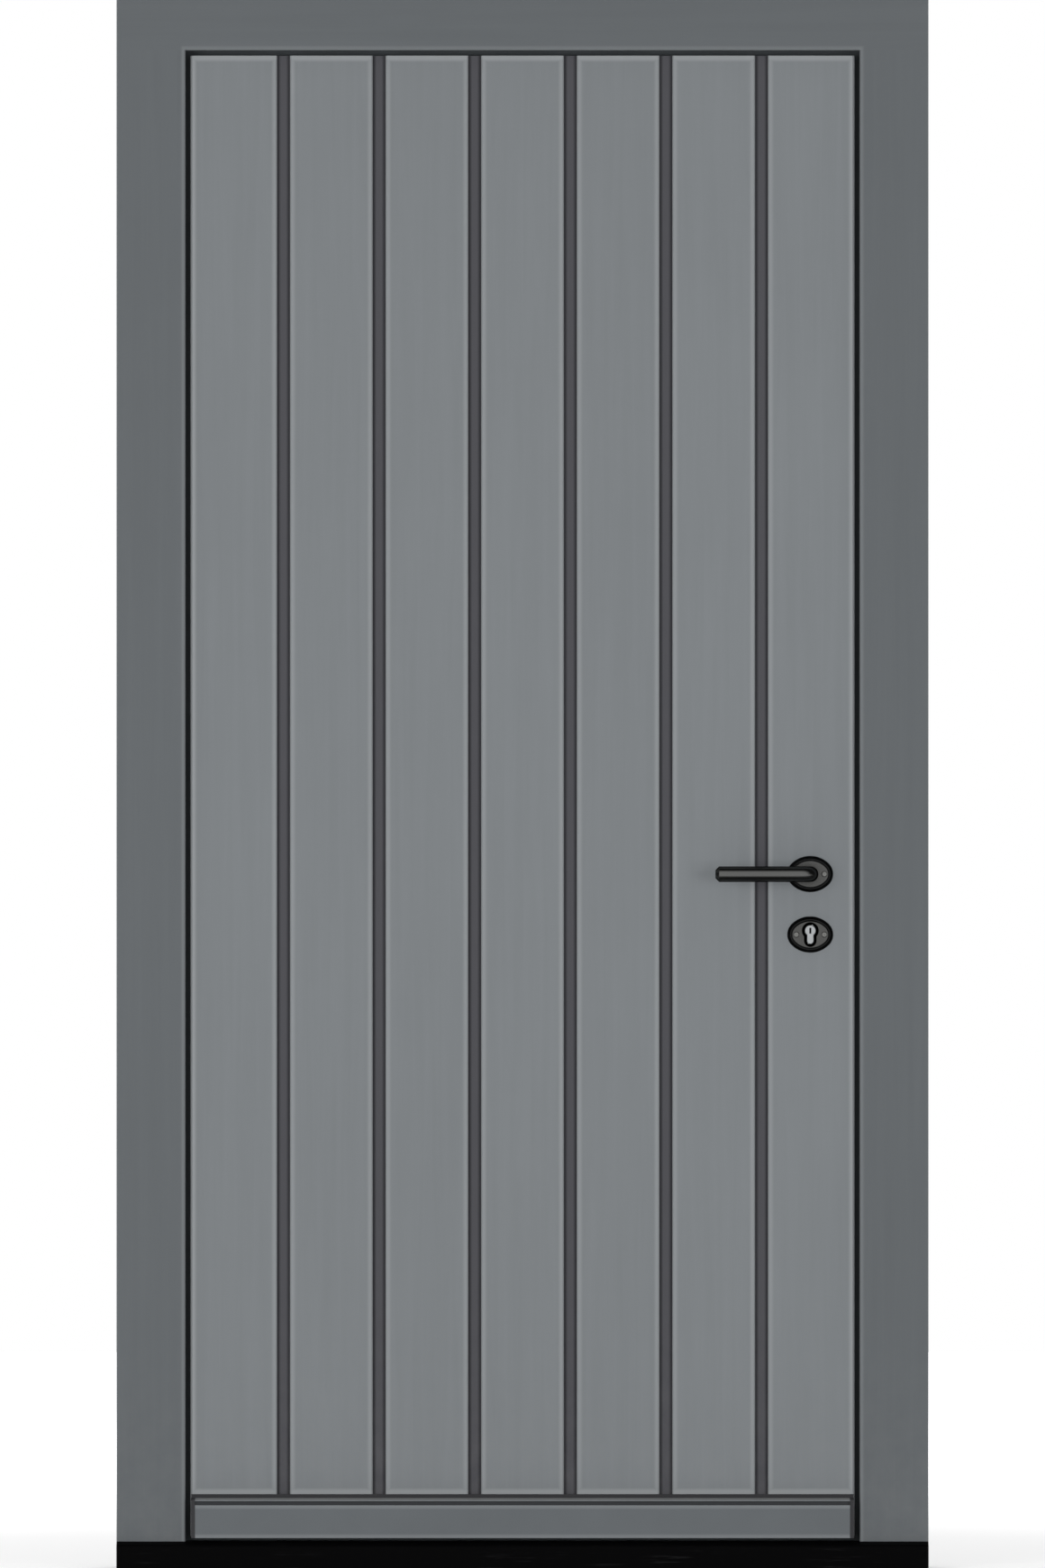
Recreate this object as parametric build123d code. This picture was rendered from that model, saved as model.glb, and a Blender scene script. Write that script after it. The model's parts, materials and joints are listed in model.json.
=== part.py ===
"""Inward-opening entrance door set: rebated frame, threshold, boarded leaf, hinges, lock and lever handles.

Millimetres. +Z is up and -Y is outside, so the outside is seen looking along +Y, with the hinges on the
left. The origin is on the underside of the threshold, midway between the jambs and midway through the
frame's depth.
"""

import os

from build123d import *

# Frame
FRAME_WIDTH = 1100.0
FRAME_HEIGHT = 2126.0
FRAME_DEPTH = 80.0
JAMB_FACE = 93.0  # width of a jamb seen from outside
HEAD_FACE = 69.0  # height of the head seen from outside
STOP_DEPTH = 35.0  # from the outer face back to the stop that the leaf closes on
ARRIS = 1.5  # chamfer on the frame's inner edges
SEAL_WIDTH = 7.0
SEAL_PROUD = 2.0
SEAL_FOOT_WIDTH = 4.0
SEAL_FOOT_DEPTH = 5.0
FIXING_RADIUS = 4.0  # hole for a frame screw
FIXING_END = 180.0  # from the end of a jamb to its first frame screw
FIXING_COUNT = 4

# Threshold
THRESHOLD_HEIGHT = 37.0
THRESHOLD_NOSE = 12.0  # how far it stands out in front of the frame
THRESHOLD_FALL = 4.0  # drop of the weathered nose
NOSE_CHAMFER = 2.5
TREAD_HEIGHT = 20.0  # of the lower inner half, behind the step that the leaf closes on
TREAD_GROOVE_COUNT = 4
TREAD_GROOVE_WIDTH = 3.0
TREAD_GROOVE_DEPTH = 1.5
TREAD_MARGIN = 8.0  # plain strip beside the grooves

# Leaf
LEAF_GAP = 7.0  # running gap round the leaf
REVEAL = 12.0  # how far the boards lie behind the frame's outer face
LIP = 20.0  # how far the leaf's inner half laps past its outer half
STILE_WIDTH = 135.0
TOP_RAIL_HEIGHT = 130.0
BOTTOM_RAIL_HEIGHT = 190.0
BOARD_COUNT = 7
BOARD_GAP = 16.0  # width of the sunk joint between two boards
EDGE_BOARD_EXTRA = 4.4  # how much wider the face of the first and last board is
BOARD_CHAMFER = 2.5
BOARD_THICKNESS = 16.0
BOARD_JOINT_DEPTH = 7.0  # from a board's face to the tongue in the joint
BOARD_TONGUE = 5.0
LINING_THICKNESS = 12.0
LINING_JOINT_DEPTH = 4.0
LINING_TONGUE = 4.0
TONGUE_ENTRY = 6.0  # how far a tongue goes into the next board
TONGUE_CLEARANCE = 0.3

# Weather bar
BAR_HEIGHT = 54.0
BAR_PROJECTION = 22.0
BAR_FALL = 2.5  # drop of its sloped top
BAR_NOSE = 1.5  # height of the nose at the front of the slope
BAR_GROOVE_HEIGHT = 5.5  # of the shadow groove under the nose
BAR_GROOVE_DEPTH = 3.5
BAR_INSET = 6.5  # from the end of the bar to the edge of the boards
BAR_CAP = 5.5  # thickness of the moulded cap on each end of the bar
BAR_CLEARANCE = 5.0  # above the threshold
BAR_WALL = 3.5

# Hinges
HINGE_HEIGHT = 120.0
HINGE_END = 200.0  # from the leaf's end to the middle of the nearest hinge
HINGE_STANDOFF = 17.0  # from the inner faces to the hinge axis
KNUCKLE_RADIUS = 11.0
KNUCKLE_GAP = 0.5
LEAF_KNUCKLE_HEIGHT = 44.0
PIN_RADIUS = 5.0
PIN_CLEARANCE = 0.05
PIN_CAP_HEIGHT = 6.0
PIN_CAP_CHAMFER = 2.5
PLATE_THICKNESS = 4.0
PLATE_WIDTH = 44.0
PLATE_EDGE = 1.0  # from a plate to the edge of the wood that it lies on
PLATE_CORNER = 6.0
WEB_REACH = 0.7  # where a plate's web meets its knuckle, as a share of the knuckle's radius

# Lock
HANDLE_HEIGHT = 941.0
LOCK_CENTRES = 82.0  # from the spindle down to the key cylinder
BACKSET = 80.0  # from the lock's edge to the spindle
FOREND_LENGTH = 280.0
FOREND_WIDTH = 22.0
FOREND_THICKNESS = 3.0
LOCK_DEPTH = 110.0
LOCK_HEIGHT = 190.0
LOCK_THICKNESS = 18.0
LOCK_FIT = 0.3
FOLLOWER_RADIUS = 6.5
BOLT_DEPTH = 24.0
LATCH_HEIGHT = 26.0
LATCH_THICKNESS = 12.0
LATCH_RISE = 24.0  # from the spindle up to the middle of the latch
DEADBOLT_HEIGHT = 32.0
DEADBOLT_THICKNESS = 12.0
STRIKE_LENGTH = 210.0
STRIKE_WIDTH = 24.0
STRIKE_THICKNESS = 3.0
STRIKE_MARGIN = 2.0  # room round a bolt in its pocket
CYLINDER_RADIUS = 7.7
CYLINDER_HEIGHT = 26.0
CYLINDER_STEM = 9.5
CYLINDER_PROUD = 2.0
CYLINDER_CHAMFER = 0.8
KEYWAY_WIDTH = 2.6
KEYWAY_HEIGHT = 8.0
KEYWAY_DEPTH = 12.0
PLUG_RADIUS = 6.0
PLUG_RECESS = 0.6

# Handles
ROSE_WIDTH = 62.0
ROSE_HEIGHT = 49.0
ROSE_END_RADIUS = 20.0  # of the oval's tighter arcs, at its left and right ends
ROSE_PLATE = 5.0  # thickness of the oval plate
ROSE_BOSS = 4.0  # thickness of the smaller oval on it
ROSE_STEP = 5.0  # from the edge of the plate to the edge of the smaller oval
ROSE_RIM = 4.0  # chamfer of the plate
ROSE_BOSS_CHAMFER = 2.0
ROSE_COLLAR = 3.5  # chamfer of the hole round the key cylinder
ROSE_COLLAR_LAND = 0.5  # least flat face between that chamfer and the smaller oval's
LEVER_RADIUS = 10.5
LEVER_LENGTH = 129.0  # from the spindle to the tip
LEVER_PROJECTION = 49.0  # from the leaf's face to the middle of the grip
LEVER_BEND_INSIDE = 1.5  # radius on the inner side of the bend
LEVER_END_CHAMFER = 5.0
NECK_RADIUS = 8.5
NECK_CLEARANCE = 0.4
NECK_SHOULDER_GAP = 1.0
NECK_END_GAP = 1.0
SPINDLE_SIZE = 8.0
SPINDLE_CLEARANCE = 0.1
SPINDLE_ENTRY = 26.0
SPINDLE_HOLE_RADIUS = 10.0
CYLINDER_HOLE_MARGIN = 1.0

# Planes across the depth, from outside to inside
FRAME_FRONT = -FRAME_DEPTH / 2
FRAME_BACK = FRAME_DEPTH / 2
LEAF_FRONT = FRAME_FRONT + REVEAL
LEAF_BACK = FRAME_BACK
CORE_FRONT = LEAF_FRONT + BOARD_THICKNESS
CORE_BACK = LEAF_BACK - LINING_THICKNESS
STOP_BACK = FRAME_FRONT + STOP_DEPTH
LIP_FRONT = STOP_BACK + LEAF_GAP
LOCK_Y = (LIP_FRONT + CORE_BACK) / 2
BAR_FRONT = LEAF_FRONT - BAR_PROJECTION

# Half widths
FRAME_HALF = FRAME_WIDTH / 2
OPENING_HALF = FRAME_HALF - JAMB_FACE
FACE_HALF = OPENING_HALF - LEAF_GAP
LIP_HALF = FACE_HALF + LIP
REBATE_HALF = LIP_HALF + LEAF_GAP
CORE_HALF = LIP_HALF - STILE_WIDTH
SEAL_MIDDLE = (OPENING_HALF + LIP_HALF) / 2
BAR_HALF = FACE_HALF - BAR_INSET

# Heights
HEAD_UNDERSIDE = FRAME_HEIGHT - HEAD_FACE
FACE_TOP = HEAD_UNDERSIDE - LEAF_GAP
LIP_TOP = FACE_TOP + LIP
REBATE_TOP = LIP_TOP + LEAF_GAP
FACE_BOTTOM = THRESHOLD_HEIGHT + LEAF_GAP
LIP_BOTTOM = TREAD_HEIGHT + LEAF_GAP
SEAL_TOP_MIDDLE = (HEAD_UNDERSIDE + LIP_TOP) / 2
SEAL_BOTTOM_MIDDLE = (THRESHOLD_HEIGHT + LIP_BOTTOM) / 2
BAR_BOTTOM = THRESHOLD_HEIGHT + BAR_CLEARANCE
BAR_TOP = BAR_BOTTOM + BAR_HEIGHT
CYLINDER_Z = HANDLE_HEIGHT - LOCK_CENTRES
LOCK_MIDDLE = (HANDLE_HEIGHT + CYLINDER_Z) / 2
LATCH_Z = HANDLE_HEIGHT + LATCH_RISE

# Axes
SPINDLE_X = LIP_HALF - BACKSET
HINGE_X = -(LIP_HALF + LEAF_GAP / 2)
HINGE_Y = FRAME_BACK + HINGE_STANDOFF
HINGE_MIDDLES = {
    "lower": LIP_BOTTOM + HINGE_END,
    "middle": (LIP_BOTTOM + LIP_TOP) / 2,
    "upper": LIP_TOP - HINGE_END,
}


def outline(points):
    """A flat face inside straight sides."""
    return make_face(Polyline(*points, close=True))


def rectangle(u0, u1, v0, v1):
    """A flat rectangle between two corners."""
    return Pos((u0 + u1) / 2, (v0 + v1) / 2) * Rectangle(abs(u1 - u0), abs(v1 - v0))


def raise_plan(plan, bottom, top):
    """Extrudes a face drawn in plan, on X and Y, between two heights."""
    return extrude(Pos(0, 0, bottom) * plan, amount=top - bottom, dir=(0, 0, 1))


def run_section(section, left, right):
    """Extrudes a face drawn as a section, on Y and Z, between two places on X."""
    return extrude(Pos(left, 0, 0) * (Plane.YZ * section), amount=right - left, dir=(1, 0, 0))


def push_elevation(elevation, front, back):
    """Extrudes a face drawn in elevation, on X and Z, between two places on Y."""
    return extrude(Pos(0, front, 0) * (Plane.XZ * elevation), amount=back - front, dir=(0, 1, 0))


def seal_strip(width, front, back):
    """A strip of the given width that follows the stop round both jambs, the head and the threshold."""
    half = SEAL_MIDDLE + width / 2
    low = SEAL_BOTTOM_MIDDLE - width / 2
    high = SEAL_TOP_MIDDLE + width / 2
    loop = rectangle(-half, half, low, high)
    loop -= rectangle(-half + width, half - width, low + width, high - width)
    return push_elevation(loop, front, back)


def seal_groove():
    """The groove in the stop that holds the foot of the frame seal."""
    return seal_strip(SEAL_FOOT_WIDTH, STOP_BACK - SEAL_FOOT_DEPTH, STOP_BACK)


def fixing_heights():
    """Heights of the frame screws, evenly spaced along a jamb."""
    first = THRESHOLD_HEIGHT + FIXING_END
    last = HEAD_UNDERSIDE - FIXING_END
    return [first + i * (last - first) / (FIXING_COUNT - 1) for i in range(FIXING_COUNT)]


def right_jamb_blank():
    """The right jamb before the strike is let in: a deep stop outside, and a narrower back behind it."""
    plan = outline(
        [
            (FRAME_HALF, FRAME_FRONT),
            (OPENING_HALF + ARRIS, FRAME_FRONT),
            (OPENING_HALF, FRAME_FRONT + ARRIS),
            (OPENING_HALF, STOP_BACK),
            (REBATE_HALF, STOP_BACK),
            (REBATE_HALF, FRAME_BACK - ARRIS),
            (REBATE_HALF + ARRIS, FRAME_BACK),
            (FRAME_HALF, FRAME_BACK),
        ]
    )
    post = raise_plan(plan, TREAD_HEIGHT, REBATE_TOP)
    post -= head_blank()
    post -= threshold_blank()
    post -= seal_groove()
    screw = Rot(0, 90, 0) * Cylinder(FIXING_RADIUS, 2 * JAMB_FACE)
    for height in fixing_heights():
        post -= Pos(FRAME_HALF, (STOP_BACK + FRAME_BACK) / 2, height) * screw
    return post


def left_jamb():
    return mirror(right_jamb_blank(), about=Plane.YZ)


def right_jamb():
    """The lock jamb: the plate of the strike is let in flush, with a pocket behind each bolt."""
    return right_jamb_blank() - strike_plate_blank() - strike_pockets(REBATE_HALF + BOLT_DEPTH)


def head_blank():
    """The head's section, over the whole width of the frame, resting on both jambs."""
    section = outline(
        [
            (FRAME_FRONT, FRAME_HEIGHT),
            (FRAME_FRONT, HEAD_UNDERSIDE),
            (STOP_BACK, HEAD_UNDERSIDE),
            (STOP_BACK, REBATE_TOP),
            (FRAME_BACK, REBATE_TOP),
            (FRAME_BACK, FRAME_HEIGHT),
        ]
    )
    return run_section(section, -FRAME_HALF, FRAME_HALF)


def head():
    """The head, with its inner edges chamfered between the jambs and its groove for the seal."""
    front_edge = outline(
        [
            (FRAME_FRONT, HEAD_UNDERSIDE),
            (FRAME_FRONT, HEAD_UNDERSIDE + ARRIS),
            (FRAME_FRONT + ARRIS, HEAD_UNDERSIDE),
        ]
    )
    back_edge = outline(
        [
            (FRAME_BACK, REBATE_TOP),
            (FRAME_BACK, REBATE_TOP + ARRIS),
            (FRAME_BACK - ARRIS, REBATE_TOP),
        ]
    )
    bar = head_blank() - seal_groove()
    bar -= run_section(front_edge, -OPENING_HALF, OPENING_HALF)
    bar -= run_section(back_edge, -REBATE_HALF, REBATE_HALF)
    return bar


def threshold_blank():
    """The sill under both jambs: a weathered nose outside, and a step down to the tread behind the stop."""
    nose_front = FRAME_FRONT - THRESHOLD_NOSE
    nose_top = THRESHOLD_HEIGHT - THRESHOLD_FALL
    section = outline(
        [
            (FRAME_BACK, 0),
            (nose_front, 0),
            (nose_front, nose_top - NOSE_CHAMFER),
            (nose_front + NOSE_CHAMFER, nose_top),
            (FRAME_FRONT, THRESHOLD_HEIGHT),
            (STOP_BACK, THRESHOLD_HEIGHT),
            (STOP_BACK, TREAD_HEIGHT),
            (FRAME_BACK, TREAD_HEIGHT),
        ]
    )
    return run_section(section, -FRAME_HALF, FRAME_HALF)


def threshold():
    """The sill, with its groove for the seal and a grooved tread between the jambs."""
    sill = threshold_blank() - seal_groove()
    tread_front = STOP_BACK + TREAD_MARGIN
    tread_back = FRAME_BACK - TREAD_MARGIN
    for i in range(TREAD_GROOVE_COUNT):
        middle = tread_front + (tread_back - tread_front) * i / (TREAD_GROOVE_COUNT - 1)
        groove = rectangle(
            middle - TREAD_GROOVE_WIDTH / 2,
            middle + TREAD_GROOVE_WIDTH / 2,
            TREAD_HEIGHT - TREAD_GROOVE_DEPTH,
            TREAD_HEIGHT,
        )
        sill -= run_section(groove, -REBATE_HALF, REBATE_HALF)
    return sill


def frame_seal():
    """The rubber seal round the stop: a foot in the groove and a wider lip towards the leaf."""
    return seal_groove() + seal_strip(SEAL_WIDTH, STOP_BACK, STOP_BACK + SEAL_PROUD)


def lapped_bar(plan_outer, plan_inner, bottoms, tops):
    """A piece of the leaf's core: its inner half laps past its outer half, onto the frame's stop."""
    return raise_plan(plan_outer, bottoms[0], tops[0]) + raise_plan(plan_inner, bottoms[1], tops[1])


def lock_stile_blank():
    """The right stile before the lock is let in."""
    return lapped_bar(
        rectangle(CORE_HALF, FACE_HALF, CORE_FRONT, LIP_FRONT),
        rectangle(CORE_HALF, LIP_HALF, LIP_FRONT, CORE_BACK),
        (FACE_BOTTOM, LIP_BOTTOM),
        (FACE_TOP, LIP_TOP),
    )


def hinge_stile():
    return mirror(lock_stile_blank(), about=Plane.YZ)


def lock_stile():
    """The lock stile, mortised for the lock and bored for the spindle and the key cylinder."""
    return lock_stile_blank() - lock_body(LOCK_FIT) - lock_forend() - furniture_holes()


def top_rail():
    bottom = LIP_TOP - TOP_RAIL_HEIGHT
    return lapped_bar(
        rectangle(-CORE_HALF, CORE_HALF, CORE_FRONT, LIP_FRONT),
        rectangle(-CORE_HALF, CORE_HALF, LIP_FRONT, CORE_BACK),
        (bottom, bottom),
        (FACE_TOP, LIP_TOP),
    )


def bottom_rail():
    top = LIP_BOTTOM + BOTTOM_RAIL_HEIGHT
    return lapped_bar(
        rectangle(-CORE_HALF, CORE_HALF, CORE_FRONT, LIP_FRONT),
        rectangle(-CORE_HALF, CORE_HALF, LIP_FRONT, CORE_BACK),
        (FACE_BOTTOM, LIP_BOTTOM),
        (top, top),
    )


def core_panel():
    """The insulating panel inside the stiles and rails."""
    plan = rectangle(-CORE_HALF, CORE_HALF, CORE_FRONT, CORE_BACK)
    return raise_plan(plan, LIP_BOTTOM + BOTTOM_RAIL_HEIGHT, LIP_TOP - TOP_RAIL_HEIGHT)


def board_edges(half_width):
    """Left and right edges of each board's face. The joints share out the outer face on both sides."""
    faces_width = 2 * FACE_HALF - (BOARD_COUNT - 1) * BOARD_GAP - 2 * EDGE_BOARD_EXTRA
    pitch = faces_width / BOARD_COUNT + BOARD_GAP
    first_joint = -pitch * (BOARD_COUNT - 2) / 2
    joints = [first_joint + i * pitch for i in range(BOARD_COUNT - 1)]
    lefts = [-half_width] + [joint + BOARD_GAP / 2 for joint in joints]
    rights = [joint - BOARD_GAP / 2 for joint in joints] + [half_width]
    return list(zip(lefts, rights))


def tongued_board(left, right, face, seat, joint_depth, tongue, heights, has_socket, has_tongue):
    """One upright board on the core: chamfered face, a tongue on its right edge and a socket in its left."""
    inward = 1 if seat > face else -1
    shoulder = face + inward * BOARD_CHAMFER
    plan = outline(
        [
            (left, seat),
            (left, shoulder),
            (left + BOARD_CHAMFER, face),
            (right - BOARD_CHAMFER, face),
            (right, shoulder),
            (right, seat),
        ]
    )
    tongue_front = face + inward * joint_depth
    tongue_back = tongue_front + inward * tongue
    if has_tongue:
        plan += rectangle(right, right + BOARD_GAP + TONGUE_ENTRY, tongue_front, tongue_back)
    if has_socket:
        slack = inward * TONGUE_CLEARANCE
        depth = TONGUE_ENTRY + TONGUE_CLEARANCE
        plan -= rectangle(left, left + depth, tongue_front - slack, tongue_back + slack)
    return raise_plan(plan, *heights) - furniture_holes()


def board_row(half_width, face, seat, joint_depth, tongue, heights):
    """Every board on one side of the leaf."""
    edges = board_edges(half_width)
    last = len(edges) - 1
    return [
        tongued_board(left, right, face, seat, joint_depth, tongue, heights, i > 0, i < last)
        for i, (left, right) in enumerate(edges)
    ]


def outer_boards():
    heights = (FACE_BOTTOM, FACE_TOP)
    return board_row(FACE_HALF, LEAF_FRONT, CORE_FRONT, BOARD_JOINT_DEPTH, BOARD_TONGUE, heights)


def inner_boards():
    heights = (LIP_BOTTOM, LIP_TOP)
    return board_row(LIP_HALF, LEAF_BACK, CORE_BACK, LINING_JOINT_DEPTH, LINING_TONGUE, heights)


def weather_bar():
    """The drip bar across the foot of the boards: a sloped nose, a shadow groove, and a hollow face."""
    nose_top = BAR_TOP - BAR_FALL
    groove_top = nose_top - BAR_NOSE
    groove_bottom = groove_top - BAR_GROOVE_HEIGHT
    section = outline(
        [
            (LEAF_FRONT, BAR_BOTTOM),
            (BAR_FRONT, BAR_BOTTOM),
            (BAR_FRONT, groove_bottom),
            (BAR_FRONT + BAR_GROOVE_DEPTH, groove_bottom),
            (BAR_FRONT + BAR_GROOVE_DEPTH, groove_top),
            (BAR_FRONT, groove_top),
            (BAR_FRONT, nose_top),
            (LEAF_FRONT, BAR_TOP),
        ]
    )
    hollow = rectangle(BAR_FRONT + BAR_WALL, LEAF_FRONT - BAR_WALL, BAR_BOTTOM, groove_bottom - BAR_WALL)
    hollow_half = BAR_HALF - BAR_WALL
    return run_section(section, -BAR_HALF, BAR_HALF) - run_section(hollow, -hollow_half, hollow_half)


def right_bar_cap():
    """The moulded cap that closes the right end of the drip bar."""
    section = outline(
        [
            (LEAF_FRONT, BAR_BOTTOM),
            (BAR_FRONT, BAR_BOTTOM),
            (BAR_FRONT, BAR_TOP - BAR_FALL),
            (LEAF_FRONT, BAR_TOP),
        ]
    )
    return run_section(section, BAR_HALF, BAR_HALF + BAR_CAP)


def left_bar_cap():
    return mirror(right_bar_cap(), about=Plane.YZ)


def hinge_half(side, wood_edge, knuckles):
    """One half of a hinge: a plate on the wood and the knuckles that it carries.

    side is -1 for the frame's half, left of the axis, and +1 for the leaf's. wood_edge is the edge of the
    wood that it lies on, and knuckles holds the bottom and top of each knuckle, from the hinge's middle.
    """
    plate_front = FRAME_BACK + PLATE_THICKNESS
    reach = WEB_REACH * KNUCKLE_RADIUS
    near = wood_edge + side * PLATE_EDGE
    far = near + side * PLATE_WIDTH
    plate_face = rectangle(near, far, -HINGE_HEIGHT / 2, HINGE_HEIGHT / 2)
    corners = [v for v in plate_face.vertices() if abs(v.X - far) < PLATE_EDGE]
    half = push_elevation(fillet(corners, PLATE_CORNER), FRAME_BACK, plate_front)
    web = outline(
        [
            (near, plate_front),
            (near + side * PLATE_WIDTH / 2, plate_front),
            (HINGE_X + side * reach, HINGE_Y + reach),
            (HINGE_X, HINGE_Y),
        ]
    )
    section = web + Pos(HINGE_X, HINGE_Y) * Circle(KNUCKLE_RADIUS)
    section -= Pos(HINGE_X, HINGE_Y) * Circle(PIN_RADIUS + PIN_CLEARANCE)
    for bottom, top in knuckles:
        half += raise_plan(section, bottom, top)
    return half


def frame_hinge_plate(middle):
    """The frame's half of a hinge: a knuckle above and a knuckle below the leaf's."""
    start = LEAF_KNUCKLE_HEIGHT / 2 + KNUCKLE_GAP
    end = HINGE_HEIGHT / 2
    return Pos(0, 0, middle) * hinge_half(-1, -REBATE_HALF, [(-end, -start), (start, end)])


def leaf_hinge_plate(middle):
    """The leaf's half of a hinge, with the middle knuckle."""
    end = LEAF_KNUCKLE_HEIGHT / 2
    return Pos(0, 0, middle) * hinge_half(1, -LIP_HALF, [(-end, end)])


def hinge_pin(middle):
    """The pin through all three knuckles, hung by its chamfered cap on the top one."""
    top = HINGE_HEIGHT / 2
    cap_top = top + PIN_CAP_HEIGHT
    section = outline(
        [
            (0, -top),
            (PIN_RADIUS, -top),
            (PIN_RADIUS, top),
            (KNUCKLE_RADIUS, top),
            (KNUCKLE_RADIUS, cap_top - PIN_CAP_CHAMFER),
            (KNUCKLE_RADIUS - PIN_CAP_CHAMFER, cap_top),
            (0, cap_top),
        ]
    )
    pin = revolve(Plane.XZ * section, axis=Axis.Z)
    return Pos(HINGE_X, HINGE_Y, middle) * pin


def bolt_window(height, thickness, middle, margin=0.0):
    """The outline of a bolt's end, on Y and Z, with room round it."""
    half_y = thickness / 2 + margin
    half_z = height / 2 + margin
    return rectangle(LOCK_Y - half_y, LOCK_Y + half_y, middle - half_z, middle + half_z)


def latch_window(margin=0.0):
    return bolt_window(LATCH_HEIGHT, LATCH_THICKNESS, LATCH_Z, margin)


def deadbolt_window(margin=0.0):
    return bolt_window(DEADBOLT_HEIGHT, DEADBOLT_THICKNESS, CYLINDER_Z, margin)


def lock_forend():
    """The plate on the edge of the leaf, let in flush."""
    half_y = FOREND_WIDTH / 2
    half_z = FOREND_LENGTH / 2
    section = rectangle(LOCK_Y - half_y, LOCK_Y + half_y, LOCK_MIDDLE - half_z, LOCK_MIDDLE + half_z)
    return run_section(section, LIP_HALF - FOREND_THICKNESS, LIP_HALF)


def lock_body(margin=0.0):
    """The housing of the lock behind its forend, or its mortise with room round it."""
    half_y = LOCK_THICKNESS / 2 + margin
    half_z = LOCK_HEIGHT / 2 + margin
    section = rectangle(LOCK_Y - half_y, LOCK_Y + half_y, LOCK_MIDDLE - half_z, LOCK_MIDDLE + half_z)
    back = LIP_HALF - FOREND_THICKNESS
    return run_section(section, back - LOCK_DEPTH - margin, back)


def mortise_lock():
    """The lock: forend and housing in one, open for both bolts, the spindle and the key cylinder."""
    lock = lock_forend() + lock_body()
    for window in (latch_window(LOCK_FIT), deadbolt_window(LOCK_FIT)):
        lock -= run_section(window, LIP_HALF - BOLT_DEPTH, LIP_HALF)
    follower = Rot(90, 0, 0) * Cylinder(FOLLOWER_RADIUS, LOCK_THICKNESS)
    lock -= Pos(SPINDLE_X, LOCK_Y, HANDLE_HEIGHT) * follower
    return lock - push_elevation(cylinder_outline(LOCK_FIT), LEAF_FRONT, LEAF_BACK)


def latch_bolt():
    """The latch, drawn back flush with the forend."""
    return run_section(latch_window(), LIP_HALF - BOLT_DEPTH, LIP_HALF)


def deadbolt():
    """The deadbolt, drawn back flush with the forend."""
    return run_section(deadbolt_window(), LIP_HALF - BOLT_DEPTH, LIP_HALF)


def strike_plate_blank():
    """The strike's plate before its windows are cut."""
    half_y = STRIKE_WIDTH / 2
    half_z = STRIKE_LENGTH / 2
    middle = (LATCH_Z + CYLINDER_Z) / 2
    section = rectangle(LOCK_Y - half_y, LOCK_Y + half_y, middle - half_z, middle + half_z)
    return run_section(section, REBATE_HALF, REBATE_HALF + STRIKE_THICKNESS)


def strike_pockets(depth_end):
    """The space for both bolts, from the rebate to the given place on X."""
    latch = run_section(latch_window(STRIKE_MARGIN), REBATE_HALF, depth_end)
    return latch + run_section(deadbolt_window(STRIKE_MARGIN), REBATE_HALF, depth_end)


def strike_plate():
    return strike_plate_blank() - strike_pockets(REBATE_HALF + STRIKE_THICKNESS)


def cylinder_outline(margin=0.0):
    """The outline of the key cylinder, on X and Z: a round head over a narrower, round-ended stem."""
    head_z = CYLINDER_Z + CYLINDER_HEIGHT / 2 - CYLINDER_RADIUS
    foot_z = CYLINDER_Z - CYLINDER_HEIGHT / 2 + CYLINDER_STEM / 2
    half_stem = CYLINDER_STEM / 2 + margin
    shape = Pos(SPINDLE_X, head_z) * Circle(CYLINDER_RADIUS + margin)
    shape += rectangle(SPINDLE_X - half_stem, SPINDLE_X + half_stem, foot_z, head_z)
    return shape + Pos(SPINDLE_X, foot_z) * Circle(half_stem)


def key_cylinder():
    """The key cylinder through the leaf, proud of both roses, each end with a sunk plug and a keyway."""
    rose = ROSE_PLATE + ROSE_BOSS
    front = LEAF_FRONT - rose - CYLINDER_PROUD
    back = LEAF_BACK + rose + CYLINDER_PROUD
    body = push_elevation(cylinder_outline(), front, back)
    for face in (front, back):
        body = chamfer_rim(body, face, CYLINDER_CHAMFER)
    head_z = CYLINDER_Z + CYLINDER_HEIGHT / 2 - CYLINDER_RADIUS
    plug = Pos(SPINDLE_X, head_z) * Circle(PLUG_RADIUS)
    keyway = Pos(SPINDLE_X, head_z) * Rectangle(KEYWAY_WIDTH, KEYWAY_HEIGHT)
    for face, inward in ((front, 1), (back, -1)):
        body -= push_elevation(plug, face, face + inward * PLUG_RECESS)
        body -= push_elevation(keyway, face, face + inward * KEYWAY_DEPTH)
    return body


def furniture_holes():
    """The holes through the leaf for the spindle and the key cylinder, which the roses cover."""
    spindle = Pos(SPINDLE_X, HANDLE_HEIGHT) * Circle(SPINDLE_HOLE_RADIUS)
    return push_elevation(spindle, LEAF_FRONT, LEAF_BACK) + push_elevation(
        cylinder_outline(CYLINDER_HOLE_MARGIN), LEAF_FRONT, LEAF_BACK
    )


def rose_oval(inset=0.0):
    """A rose's oval about its middle, drawn in by the inset: two tight arcs and two flatter ones between."""
    half_height = ROSE_HEIGHT / 2
    end_centre = ROSE_WIDTH / 2 - ROSE_END_RADIUS
    flat_excess = half_height - ROSE_END_RADIUS
    side_radius = (end_centre**2 + half_height**2 - ROSE_END_RADIUS**2) / (2 * flat_excess)
    side_centre = half_height - side_radius
    tangent = Vector(end_centre, -side_centre).normalized() * (side_radius - inset) + Vector(0, side_centre)
    x, y = tangent.X, tangent.Y
    width = ROSE_WIDTH / 2 - inset
    height = half_height - inset
    return make_face(
        ThreePointArc((x, -y), (width, 0), (x, y))
        + ThreePointArc((x, y), (0, height), (-x, y))
        + ThreePointArc((-x, y), (-width, 0), (-x, -y))
        + ThreePointArc((-x, -y), (0, -height), (x, -y))
    )


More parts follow.
